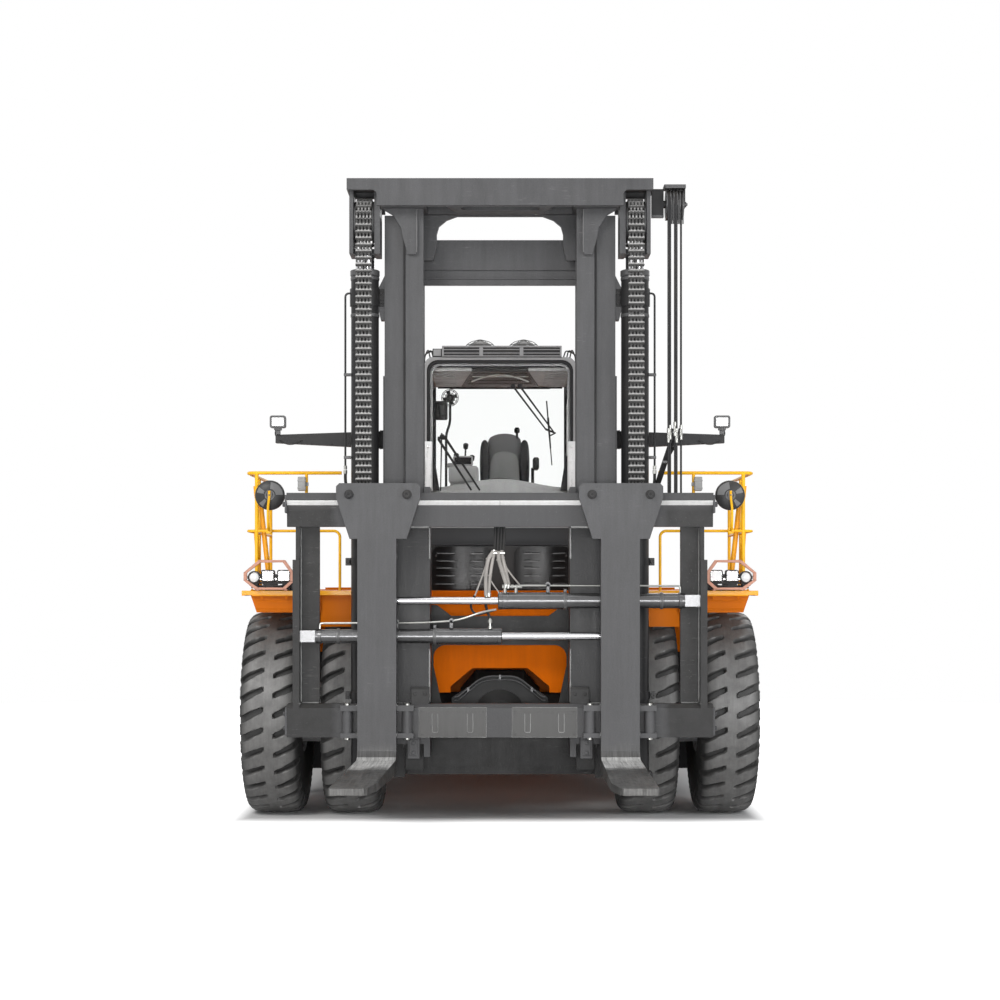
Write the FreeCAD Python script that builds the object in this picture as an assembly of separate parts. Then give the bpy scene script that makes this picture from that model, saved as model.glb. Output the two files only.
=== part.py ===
import FreeCAD, Part
import math
import os

V = FreeCAD.Vector

# Large counterbalanced truck with a twin rail mast. All sizes in millimetres.
# Working frame: x to the truck's left, y backwards from the front axle line, z up
# from the ground. Shapes are moved along y when they are saved, so that the origin
# lies under the middle of the whole truck.

# overall
FORK_TIP_Y = -3750.0
TAIL_Y = 6350.0
WHEELBASE = 4500.0
SHIFT_Y = -(FORK_TIP_Y + TAIL_Y) / 2
RUN = 5.0
SEAT = 0.3

# tyres
TYRE_R = 835.0
TYRE_W = 480.0
RIM_R = 318.0
TWIN_IN_X = 1210.0
TWIN_OUT_X = 1855.0
STEER_X = 1500.0
KINGPIN_X = 1120.0
AXLE_Z = TYRE_R
AXLE_TUBE_R = 124.0
SPINDLE_R = 70.0

# mast
PIVOT_Y = -620.0
PIVOT_Z = 700.0
OUT_X0, OUT_X1 = 747.0, 907.0
OUT_Y0, OUT_Y1 = -1090.0, -750.0
IN_X0, IN_X1 = 601.0, 741.0
IN_Y0, IN_Y1 = -1130.0, -810.0
FLANGE = 40.0
WEB = 30.0
OUT_BASE, OUT_TOP = 384.0, 4800.0
CROSS_TOP = 4665.0
IN_BASE, IN_TOP = 450.0, 4843.0
BEAM_TOP = 5053.0
BEAM_X = 1190.0
CYL_X = 1063.0
CYL_R = 109.5
ROD_R = 74.0
BARREL_TOP = 4371.0
SHEAVE_Z = 4750.0
SHEAVE_R = 165.0
CHAIN_LINE_Y = -1225.0
CYL_Y = CHAIN_LINE_Y + SHEAVE_R
PULLEY_Z = 4885.0
PULLEY_R = 105.0
CHAIN_W = 121.0
CHAIN_T = 50.0
CROSS_T = 50.0

# carriage and forks
CAR_X = 1646.0
UP_Z0, UP_Z1 = 2347.0, 2608.0
UP_Y0, UP_Y1 = -1400.0, -1265.0
LOW_Z0, LOW_Z1 = 721.0, 977.0
LOW_Y0 = -1380.0
PLATE_T = 60.0
FORK_LEFT = (922.0, 6.0, -24.0)
FORK_RIGHT = (944.0, -10.0, 35.0)
FORK_W = 297.0
FORK_T = 110.0
SHANK_Y0 = -1510.0
HEEL_Z = 563.0
TIP_T = 46.0
TIP_W = 256.0
HOOK_W = 643.0
HOOK_FOOT = 437.0
HOOK_TOP = 2677.0
POS_Y = -1325.0

# chassis
FRAME_X = 760.0
FRAME_T = 40.0
FRAME_Y0 = -480.0
DECK_Z = 1850.0
DECK_T = 30.0
DECK_X = 2085.0
DECK_Y0 = -650.0
NARROW_X = 380.0
MID_Y1 = 3350.0
RAIL_Y = -560.0

# tilt cylinders
TILT_X = 800.0
TILT_EYE_Y, TILT_EYE_Z = -640.0, 2400.0
TILT_PIN_Y, TILT_PIN_Z = 1020.0, 2030.0
TILT_R = 88.0
TILT_ROD_R = 45.0

# cab
CAB_X = 700.0
CAB_Y0, CAB_Y1 = 1600.0, 3300.0
CAB_Z0, CAB_Z1 = 2260.0, 3990.0
WALL = 45.0
DOOR_Y0, DOOR_Y1 = 1700.0, 2690.0
DOOR_T = 38.0
DOOR_Z0, DOOR_Z1 = 2310.0, 3900.0
HINGE_X = CAB_X + 4 + DOOR_T + 18
HINGE_Y = DOOR_Y1 + 5
HINGE_ZS = (DOOR_Z0 + 200, DOOR_Z1 - 260)

# power bay and counterweight
BAY_X = 1120.0
BAY_Y0, BAY_Y1 = 3460.0, 5300.0
BAY_Z0, BAY_Z1 = 1760.0, 2620.0
HOOD_PIN_Y, HOOD_PIN_Z = BAY_Y1 + 12, BAY_Z1 + 55
CW_X = 1950.0
CW_Y0 = 5625.0
CW_Z0 = 700.0
CW_TOP = 1870.0


def box(x0, x1, y0, y1, z0, z1):
    return Part.makeBox(x1 - x0, y1 - y0, z1 - z0, V(x0, y0, z0))


def cyl_x(x0, x1, y, z, r):
    return Part.makeCylinder(r, x1 - x0, V(x0, y, z), V(1, 0, 0))


def cyl_y(x, y0, y1, z, r):
    return Part.makeCylinder(r, y1 - y0, V(x, y0, z), V(0, 1, 0))


def cyl_z(x, y, z0, z1, r):
    return Part.makeCylinder(r, z1 - z0, V(x, y, z0), V(0, 0, 1))


def cyl_between(a, b, r):
    return Part.makeCylinder(r, (b - a).Length, a, b - a)


def slab_x(x0, x1, yz):
    face = Part.Face(Part.makePolygon([V(x0, y, z) for y, z in yz + yz[:1]]))
    return face.extrude(V(x1 - x0, 0, 0))


def slab_y(y0, y1, xz):
    face = Part.Face(Part.makePolygon([V(x, y0, z) for x, z in xz + xz[:1]]))
    return face.extrude(V(0, y1 - y0, 0))


def slab_z(z0, z1, xy):
    face = Part.Face(Part.makePolygon([V(x, y, z0) for x, y in xy + xy[:1]]))
    return face.extrude(V(0, 0, z1 - z0))


def ring_x(x0, x1, y, z, r0, r1):
    return cyl_x(x0, x1, y, z, r1).cut(cyl_x(x0 - 1, x1 + 1, y, z, r0))


def fuse(shapes):
    out = shapes[0].fuse(shapes[1:]) if len(shapes) > 1 else shapes[0]
    return out.removeSplitter()


def mirrored(shape):
    return shape.mirror(V(0, 0, 0), V(1, 0, 0))


def pair(shape):
    return Part.makeCompound([shape, mirrored(shape)])


def group(shapes):
    return Part.makeCompound(shapes)


def round_edges(shape, r, test):
    edges = [e for e in shape.Edges if test(e)]
    return shape.makeFillet(r, edges) if edges else shape


def along(edge, axis):
    if len(edge.Vertexes) < 2:
        return False
    d = edge.Vertexes[1].Point - edge.Vertexes[0].Point
    return d.Length > 1e-6 and abs(abs(d.dot(axis)) - d.Length) < 1e-6


def spun_x(profile, y, z):
    """Solid of revolution about a line along x; profile points are (x, radius)."""
    wire = Part.makePolygon([V(x, y, z + r) for x, r in profile + profile[:1]])
    return Part.Face(wire).revolve(V(0, y, z), V(1, 0, 0), 360)


def tube(points, r, bend):
    """Round bar through the points: straight runs joined by tangent arcs."""
    pts = [V(*p) for p in points]
    edges = []
    start = pts[0]
    for i in range(1, len(pts) - 1):
        a = (pts[i - 1] - pts[i]).normalize()
        b = (pts[i + 1] - pts[i]).normalize()
        half = a.getAngle(b) / 2
        cut = bend / math.tan(half)
        p = pts[i] + a * cut
        q = pts[i] + b * cut
        middle = pts[i] + (a + b).normalize() * (bend / math.sin(half) - bend)
        edges.append(Part.makeLine(start, p))
        edges.append(Part.Arc(p, middle, q).toShape())
        start = q
    edges.append(Part.makeLine(start, pts[-1]))
    section = Part.Wire([Part.makeCircle(r, pts[0], pts[1] - pts[0])])
    return Part.Wire(edges).makePipeShell([section], True, False)


def save(name, shape):
    moved = shape.copy()
    moved.translate(V(0, SHIFT_Y, 0))
    moved.exportStep("parts/" + name + ".step")


# ---------------------------------------------------------------- wheels

def tyre(x, y):
    h = TYRE_W / 2
    profile = [
        (x - h + 35, RIM_R), (x - h + 10, RIM_R + 60), (x - h, RIM_R + 230),
        (x - h + 10, TYRE_R - 75), (x - h + 55, TYRE_R - 14), (x - h + 110, TYRE_R),
        (x + h - 110, TYRE_R), (x + h - 55, TYRE_R - 14), (x + h - 10, TYRE_R - 75),
        (x + h, RIM_R + 230), (x + h - 10, RIM_R + 60), (x + h - 35, RIM_R),
    ]
    return spun_x(profile, y, AXLE_Z)


def rim_shell(x, y):
    h = TYRE_W / 2 - 30
    return ring_x(x - h, x + h, y, AXLE_Z, RIM_R - 22, RIM_R)


def front_rim():
    parts = [
        rim_shell(TWIN_IN_X, 0), rim_shell(TWIN_OUT_X, 0),
        ring_x(TWIN_IN_X + 150, TWIN_OUT_X + 10, 0, AXLE_Z, 215, 250),
        ring_x(TWIN_IN_X + 150, TWIN_IN_X + 180, 0, AXLE_Z, 215, RIM_R - 10),
        ring_x(TWIN_OUT_X - 20, TWIN_OUT_X + 10, 0, AXLE_Z, 180, RIM_R - 10),
        cyl_x(TWIN_IN_X + 60, TWIN_OUT_X + 150, 0, AXLE_Z, 190),
        cyl_x(TWIN_OUT_X + 149, TWIN_OUT_X + 190, 0, AXLE_Z, 130),
    ]
    body = fuse(parts)
    return body.cut(cyl_x(TWIN_IN_X, TWIN_IN_X + 520, 0, AXLE_Z, AXLE_TUBE_R + SEAT))


def rear_rim():
    y = WHEELBASE
    parts = [
        rim_shell(STEER_X, y),
        ring_x(STEER_X + 40, STEER_X + 70, y, AXLE_Z, 120, RIM_R - 10),
        cyl_x(STEER_X - 130, STEER_X + 150, y, AXLE_Z, 165),
    ]
    return fuse(parts).cut(cyl_x(STEER_X - 131, STEER_X + 110, y, AXLE_Z, SPINDLE_R + SEAT))


# ---------------------------------------------------------------- axles

def axle_dome():
    nose = Part.makeCone(205, 120, 40, V(0, -410, AXLE_Z), V(0, -1, 0))
    return fuse([cyl_y(0, -345, -260, AXLE_Z, 236), cyl_y(0, -410, -345, AXLE_Z, 205), nose])


def front_axle():
    half = TWIN_IN_X - TYRE_W / 2 - 15
    parts = [
        cyl_x(-half + 150, half - 150, 0, AXLE_Z, 165),
        cyl_x(-TWIN_IN_X - 500, TWIN_IN_X + 500, 0, AXLE_Z, AXLE_TUBE_R),
        spun_x([(-330, 0), (-330, 200), (-200, 350), (200, 350), (330, 200), (330, 0)],
               0, AXLE_Z),
        axle_dome(),
        slab_y(-385, -343, [(-396, 900), (-396, 974), (-132, 1147), (132, 1147), (396, 974),
                            (396, 900)]),
        cyl_y(0, 0, 420, AXLE_Z, 180),
        box(-FRAME_X - FRAME_T, -FRAME_X + 60, -200, 200, AXLE_Z + 60, 1010),
        box(FRAME_X - 60, FRAME_X + FRAME_T, -200, 200, AXLE_Z + 60, 1010),
    ]
    return fuse(parts)


def rear_axle():
    y = WHEELBASE
    beam_x = KINGPIN_X - 90
    arm = box(beam_x - 80, KINGPIN_X + 70, y - 70, y + 70, 1000, 1045)
    low = box(beam_x - 80, KINGPIN_X + 70, y - 70, y + 70, 625, 670)
    post = box(beam_x - 100, beam_x - 60, y - 70, y + 70, 625, 1045)
    pin = cyl_z(KINGPIN_X, y, 610, 1060, 45)
    parts = [box(-beam_x + 62, beam_x - 62, y - 90, y + 60, 700, 985)]
    for s in (arm, low, post, pin):
        parts += [s, mirrored(s)]
    parts.append(box(-200, 200, y - 120, y + 80, 900, 1000))
    parts.append(cyl_x(-300, 300, y + 210, AXLE_Z, 65))
    parts.append(box(-280, -220, y + 40, y + 210, 790, 880))
    parts.append(box(220, 280, y + 40, y + 210, 790, 880))
    return fuse(parts).cut(cyl_x(-301, 301, y + 210, AXLE_Z, 30.5))


def knuckle():
    y = WHEELBASE
    block = box(KINGPIN_X - 62, KINGPIN_X + 75, y - 75, y + 75, 676, 994)
    spindle = cyl_x(KINGPIN_X + 70, STEER_X + 100, y, AXLE_Z, SPINDLE_R)
    arm = box(KINGPIN_X - 40, KINGPIN_X + 40, y + 70, y + 210, 846, 872)
    eye = cyl_z(KINGPIN_X, y + 210, 846, 872, 40)
    pin = cyl_z(KINGPIN_X, y + 210, 798, 846, 18)
    return fuse([block, spindle, arm, eye, pin]).cut(
        cyl_z(KINGPIN_X, y, 600, 1070, 45.5))


def tie_link():
    y = WHEELBASE + 210
    bar = box(560, KINGPIN_X, y - 18, y + 18, 805, 835)
    eye = cyl_z(KINGPIN_X, y, 805, 835, 34)
    inner = cyl_z(560, y, 805, 835, 34)
    return fuse([bar, eye, inner]).cut(cyl_z(KINGPIN_X, y, 800, 840, 18.5))


def steer_rod():
    y = WHEELBASE + 210
    parts = [cyl_x(-495, 495, y, AXLE_Z, 30)]
    for s in (-1, 1):
        x0, x1 = sorted((s * 470, s * 600))
        parts.append(box(x0, x1, y - 26, y + 26, 843, 866))
    return fuse(parts)


# ---------------------------------------------------------------- chassis

def chassis_frame():
    outline = [
        (PIVOT_Y, PIVOT_Z + 70), (FRAME_Y0 - 20, PIVOT_Z + 170), (FRAME_Y0, 1100),
        (FRAME_Y0, DECK_Z - DECK_T), (MID_Y1, DECK_Z - DECK_T), (MID_Y1, 700),
        (MID_Y1 - 200, 560), (420, 560), (260, 760), (260, 1010), (-260, 1010),
        (-260, 760), (-330, PIVOT_Z - 70), (PIVOT_Y, PIVOT_Z - 70),
    ]
    side = slab_x(FRAME_X, FRAME_X + FRAME_T, outline)
    side = side.fuse(cyl_x(FRAME_X, FRAME_X + FRAME_T, PIVOT_Y, PIVOT_Z, 70))
    side = side.cut(cyl_x(FRAME_X - 1, FRAME_X + FRAME_T + 1, PIVOT_Y, PIVOT_Z, 45.5))
    parts = [side, mirrored(side)]
    front = box(-FRAME_X, FRAME_X, FRAME_Y0, FRAME_Y0 + 30, 1020, DECK_Z - DECK_T)
    hole = slab_y(FRAME_Y0 - 5, FRAME_Y0 + 40, [(-404, 1010), (-404, 1070), (-225, 1220),
                                                (225, 1220), (404, 1070), (404, 1010)])
    parts.append(front.cut(hole))
    parts.append(box(-FRAME_X, FRAME_X, 560, 600, 620, 1500))
    parts.append(box(-FRAME_X - FRAME_T, FRAME_X + FRAME_T, MID_Y1 - 40, MID_Y1, 700, 1740))
    parts.append(box(-FRAME_X, FRAME_X, 560, MID_Y1, 560, 600))
    top = box(-920, 920, -455, MID_Y1, DECK_Z - DECK_T, DECK_Z)
    parts.append(top)
    tail = [
        (MID_Y1, 800), (3600, 1000), (5000, 1000), (5625, 1000), (5625, 1740), (MID_Y1, 1740),
    ]
    rail = slab_x(NARROW_X, NARROW_X + FRAME_T, tail)
    parts += [rail, mirrored(rail)]
    parts.append(box(-NARROW_X, NARROW_X, 4300, 4700, 1000, 1030))
    parts.append(box(-NARROW_X, NARROW_X, 5585, 5625, 1000, 1740))
    for x0, x1 in ((742, 770), (830, 858)):
        lug = slab_x(x0, x1, [(TILT_PIN_Y - 130, DECK_Z), (TILT_PIN_Y + 170, DECK_Z),
                              (TILT_PIN_Y + 75, TILT_PIN_Z + 60),
                              (TILT_PIN_Y - 75, TILT_PIN_Z + 60)])
        parts += [lug, mirrored(lug)]
    pin = cyl_x(735, 865, TILT_PIN_Y, TILT_PIN_Z, 40)
    parts += [pin, mirrored(pin)]
    return fuse(parts)


def fenders():
    top = box(921, DECK_X, DECK_Y0, 1240, DECK_Z - DECK_T, DECK_Z)
    skirt = slab_y(DECK_Y0, DECK_Y0 + 20,
                   [(1450, DECK_Z - DECK_T), (2015, DECK_Z - DECK_T), (1965, 1675), (1450, 1675)])
    inner = box(921, 1450, -625, -605, 1560, DECK_Z - DECK_T)
    rear = box(921, DECK_X - 60, 1180, 1200, 1300, DECK_Z - DECK_T)
    lip = box(DECK_X - 25, DECK_X, DECK_Y0, 1240, DECK_Z - 40, DECK_Z)
    return pair(fuse([top, skirt, inner, rear, lip]))


def deck_plates():
    outer = box(921, 1990, 1240, MID_Y1 + 60, DECK_Z - DECK_T, DECK_Z)
    return pair(outer)


def side_boxes():
    return [
        box(FRAME_X + FRAME_T, 1900, 1900, MID_Y1, 640, DECK_Z - DECK_T),
        mirrored(box(FRAME_X + FRAME_T, 1900, 1900, MID_Y1, 640, DECK_Z - DECK_T)),
    ]


def steps():
    parts = []
    for z in (560, 880, 1200, 1520):
        parts.append(box(1500, 1960, 1290, 1760, z, z + 30))
    parts.append(box(1500, 1960, 1270, 1290, 540, DECK_Z - DECK_T))
    parts.append(box(1500, 1960, 1760, 1780, 540, DECK_Z - DECK_T))
    parts.append(box(FRAME_X + FRAME_T, 1500, 1275, 1775, 1000, 1030))
    return pair(fuse(parts))


def counterweight():
    low = [
        (CW_Y0, CW_Z0 + 120), (CW_Y0, CW_TOP), (TAIL_Y - 90, CW_TOP), (TAIL_Y, CW_TOP - 90),
        (TAIL_Y, CW_Z0 + 260), (TAIL_Y - 160, CW_Z0), (CW_Y0 + 160, CW_Z0),
    ]
    body = slab_x(-CW_X, CW_X, low)
    for s in (-1, 1):
        corner = slab_z(CW_Z0 - 10, CW_TOP + 10,
                        [(s * CW_X + s, TAIL_Y - 330), (s * CW_X + s, TAIL_Y + 1),
                         (s * (CW_X - 420), TAIL_Y + 1)])
        body = body.cut(corner)
    crest = slab_x(-BAY_X, BAY_X, [
        (BAY_Y1 + 30, CW_TOP), (BAY_Y1 + 30, BAY_Z1 - 60), (BAY_Y1 + 120, BAY_Z1),
        (TAIL_Y - 260, BAY_Z1), (TAIL_Y - 120, BAY_Z1 - 160), (TAIL_Y - 90, CW_TOP)])
    wing = box(-BAY_X, BAY_X, BAY_Y1 + 30, CW_Y0, 1741, CW_TOP)
    body = fuse([body, crest, wing])
    jaw = box(-110, 110, TAIL_Y - 180, TAIL_Y + 1, 1080, 1180)
    body = body.cut(jaw)
    body = body.cut(cyl_z(0, TAIL_Y - 80, CW_Z0 - 10, 900, 60))
    body = body.cut(cyl_z(0, TAIL_Y - 80, 899, 1300, 20.5))
    return body


def power_bay():
    y0, y1 = BAY_Y0, BAY_Y1
    t = 40
    outer = box(-BAY_X, BAY_X, y0, y1, 1741, BAY_Z1)
    inner = box(-BAY_X + t, BAY_X - t, y0 + t, y1 - t, 1741 + t, BAY_Z1 + 1)
    shell = outer.cut(inner)
    guards = []
    for s in (-1, 1):
        x0, x1 = sorted((s * BAY_X, s * 1950))
        guards.append(box(x0, x1, y0, CW_Y0 - 5, 1780, 1810))
        x2, x3 = sorted((s * 1925, s * 1950))
        guards.append(box(x2, x3, y0, CW_Y0 - 5, 1720, 1810))
    return fuse([shell] + guards + hood_knuckles())


def battery_pack():
    return box(-BAY_X + 60, BAY_X - 60, BAY_Y0 + 60, BAY_Y1 - 60, 1781, BAY_Z1 - 60)


def power_hood():
    lid = box(-BAY_X - 10, BAY_X + 10, BAY_Y0 - 10, BAY_Y1 - 6, BAY_Z1 + SEAT, BAY_Z1 + 45)
    parts = [lid]
    for x in (-700, 640):
        parts.append(cyl_x(x, x + 60, HOOD_PIN_Y, HOOD_PIN_Z, 12))
        parts.append(box(x, x + 60, BAY_Y1 - 60, HOOD_PIN_Y, BAY_Z1 + 43, HOOD_PIN_Z + 12))
    return fuse(parts)


def hood_knuckles():
    parts = []
    for x in (-637, 577):
        parts.append(cyl_x(x, x + 60, HOOD_PIN_Y, HOOD_PIN_Z, 12))
        parts.append(box(x, x + 60, BAY_Y1 - 1, BAY_Y1 + 14, BAY_Z1 - 90, HOOD_PIN_Z))
    return parts


def front_covers():
    covers = []
    for x0, x1 in ((-584, -78), (125, 605)):
        panel = box(x0, x1, 478, 520 - SEAT, DECK_Z + 5, 2228)
        panel = round_edges(panel, 25, lambda e: along(e, V(0, 1, 0)) and e.Vertexes[0].Z > 2200)
        width = (x1 - x0 - 90) / 2
        for col in (0, 1):
            for row in range(5):
                x = x0 + 30 + col * (width + 30)
                z = DECK_Z + 52 + row * 64
                panel = panel.cut(box(x, x + width, 477, 492, z, z + 26))
        covers.append(panel)
    return group(covers)


# ---------------------------------------------------------------- cab

def cab_riser():
    body = box(-650, 650, 520, CAB_Y1, DECK_Z, CAB_Z0 - 25)
    cave = box(-610, 610, 560, CAB_Y1 - 40, DECK_Z - 1, CAB_Z0 - 65)
    mounts = []
    for y in (CAB_Y0 + 150, CAB_Y1 - 150):
        for x in (-550, 550):
            mounts.append(cyl_z(x, y, CAB_Z0 - 26, CAB_Z0, 55))
    return fuse([body.cut(cave)] + mounts)


def cab_shell():
    outer = box(-CAB_X, CAB_X, CAB_Y0, CAB_Y1, CAB_Z0, CAB_Z1)
    outer = round_edges(outer, 90, lambda e: along(e, V(0, 1, 0)) and e.Vertexes[0].Z > CAB_Z0 + 5)
    inner = box(-CAB_X + WALL, CAB_X - WALL, CAB_Y0 + WALL, CAB_Y1 - WALL,
                CAB_Z0 + 60, CAB_Z1 - 90)
    shell = outer.cut(inner)
    shell = shell.cut(front_window(-5, WALL + 5))
    shell = shell.cut(rear_window(-WALL - 5, 5))
    shell = shell.cut(roof_window())
    for s in (-1, 1):
        x0, x1 = sorted((s * (CAB_X + 5), s * (CAB_X - WALL - 5)))
        shell = shell.cut(box(x0, x1, DOOR_Y0, DOOR_Y1 - 40, DOOR_Z0 + 20, DOOR_Z1 - 20))
        shell = shell.cut(box(x0, x1, DOOR_Y1 + 40, CAB_Y1 - 80, 2750, DOOR_Z1 - 60))
    for z in HINGE_ZS:
        ear = cab_hinge_ear(z + 90 + SEAT)
        shell = shell.fuse([ear, mirrored(ear)])
    return shell


def cab_hinge_ear(z):
    barrel = cyl_z(HINGE_X, HINGE_Y, z, z + 50, 18)
    arm = box(CAB_X, HINGE_X + 8, HINGE_Y + 9, HINGE_Y + 40, z, z + 50)
    return barrel.fuse(arm)


def front_window(y0, y1):
    w = CAB_X - 40
    pane = box(-w, w, CAB_Y0 + y0, CAB_Y0 + y1, 2440, CAB_Z1 - 40)
    return round_edges(pane, 95, lambda e: along(e, V(0, 1, 0)) and e.Vertexes[0].Z > 3000)


def rear_window(y0, y1):
    w = CAB_X - 60
    return box(-w, w, CAB_Y1 + y0, CAB_Y1 + y1, 2800, CAB_Z1 - 105)


def roof_window():
    return box(-450, 450, CAB_Y0 + 250, CAB_Y0 + 1000, CAB_Z1 - 95, CAB_Z1 + 5)


def cab_glass():
    panes = [
        front_window(16, 24),
        rear_window(-24, -16),
        box(-450, 450, CAB_Y0 + 250, CAB_Y0 + 1000, CAB_Z1 - 40, CAB_Z1 - 32),
    ]
    side = box(CAB_X - 26, CAB_X - 18, DOOR_Y1 + 40, CAB_Y1 - 80, 2750, DOOR_Z1 - 60)
    return group(panes + [side, mirrored(side)])


def door():
    x0 = CAB_X + 4
    leaf = box(x0, x0 + DOOR_T, DOOR_Y0 - 20, DOOR_Y1, DOOR_Z0, DOOR_Z1)
    leaf = leaf.cut(door_light(x0 - 5, x0 + DOOR_T + 5))
    for z in HINGE_ZS:
        leaf = leaf.fuse(cyl_z(HINGE_X, HINGE_Y, z, z + 90, 18))
        leaf = leaf.fuse(box(x0 + DOOR_T - 2, HINGE_X, DOOR_Y1 - 60, HINGE_Y, z, z + 90))
    return leaf


def door_light(x0, x1):
    return box(x0, x1, DOOR_Y0 + 50, DOOR_Y1 - 80, DOOR_Z0 + 90, DOOR_Z1 - 80)


def door_glass():
    x0 = CAB_X + 4
    return door_light(x0 + 15, x0 + 23)


def cab_seat():
    x = 50
    base = box(x - 180, x + 180, 2200, 2620, CAB_Z0 + 60, 2560)
    cushion = box(x - 235, x + 235, 2140, 2640, 2560, 2720)
    back = slab_x(x - 225, x + 225, [(2560, 2720), (2680, 2720), (2790, 3350), (2690, 3360)])
    arm = box(x + 240, x + 300, 2240, 2600, 2800, 2860)
    arm = arm.fuse(box(x + 234, x + 300, 2480, 2600, 2620, 2860))
    return fuse([base, cushion, back, arm])


def cab_controls():
    dash = slab_x(-540, 540, [(1660, CAB_Z0 + 60), (1800, CAB_Z0 + 60), (1840, 2480),
                              (1900, 2770), (1870, 2800), (1690, 2780), (1660, 2740)])
    column = cyl_between(V(0, 1800, 2450), V(0, 2010, 2810), 45)
    wheel = Part.makeTorus(165, 16, V(0, 2010, 2810), V(0, 0.42, 0.9))
    spoke = cyl_between(V(-160, 2010, 2810), V(160, 2010, 2810), 12)
    return fuse([dash, column, wheel, spoke])


def roof_unit():
    return fuse([
        box(-620, 620, CAB_Y0 + 1050, CAB_Y1 - 40, CAB_Z1, CAB_Z1 + 95),
        box(-532, 566, CAB_Y0 - 20, CAB_Y0 + 180, CAB_Z1, CAB_Z1 + 101),
        box(-619, -531, CAB_Y0, CAB_Y0 + 120, CAB_Z1, CAB_Z1 + 77),
        cyl_z(-179, CAB_Y0 + 90, CAB_Z1 + 100, CAB_Z1 + 140, 36),
        cyl_z(216, CAB_Y0 + 90, CAB_Z1 + 100, CAB_Z1 + 140, 36),
        box(-40, 40, CAB_Y0 + 170, CAB_Y0 + 1060, CAB_Z1, CAB_Z1 + 30),
    ])


# ---------------------------------------------------------------- deck fittings

def handrails():
    y = RAIL_Y
    z0 = DECK_Z
    top, mid = 2807, 2336
    upper = tube([(1285, y, top), (2048, y, top), (2048, 1100, top), (2048, 1100, z0)], 14, 70)
    lower = tube([(1300, y, z0), (1300, y, mid), (2048, y, mid), (2048, 1100, mid)], 11.5, 50)
    posts = [cyl_z(1571, y, z0, top, 12.7), cyl_z(1975, y, z0, top, 15.5),
             cyl_z(2048, 250, z0, top, 12.7)]
    return pair(fuse([upper, lower] + posts))


def mirrors():
    y = RAIL_Y
    disc = cyl_y(1866, -700, -660, 2615, 121)
    post = tube([(1866, -640, 2350), (1866, -640, 2615)], 11, 30)
    neck = cyl_y(1866, -661, -625, 2615, 16)
    clamp = box(1840, 1892, -660, y - 11.5 - SEAT, 2310, 2362)
    return pair(fuse([disc, post, neck, clamp]))


def front_lights():
    y = -630
    z = 1925
    lamps = [
        cyl_y(1988, y - 60, y + 30, z, 44),
        box(1800, 1888, y - 60, y + 30, z - 45, z + 50),
        box(1665, 1755, y - 60, y + 30, z - 45, z + 50),
        box(1660, 1900, y - 10, y + 20, DECK_Z, z - 30),
        box(1900, 2010, y - 10, y + 20, z - 55, z - 30),
    ]
    guard = tube([(1790, y - 90, 1862), (1700, y - 90, 1862), (1620, y - 90, 1925),
                  (1700, y - 90, 2085), (1950, y - 90, 2085), (2050, y - 90, 2000),
                  (2050, y - 90, 1925), (1960, y - 90, 1862), (1780, y - 90, 1862)], 11, 25)
    foot = box(1690, 1970, y - 100, y - 5, DECK_Z, DECK_Z + 20)
    return pair(fuse(lamps + [guard, foot]))


# ---------------------------------------------------------------- outer mast

def outer_rail():
    rail = box(OUT_X0, OUT_X1, OUT_Y0, OUT_Y1, OUT_BASE, OUT_TOP)
    core = box(OUT_X0 - 1, OUT_X1 - WEB, OUT_Y0 + FLANGE, OUT_Y1 - FLANGE,
               OUT_BASE - 1, OUT_TOP + 1)
    return rail.cut(core)


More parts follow.
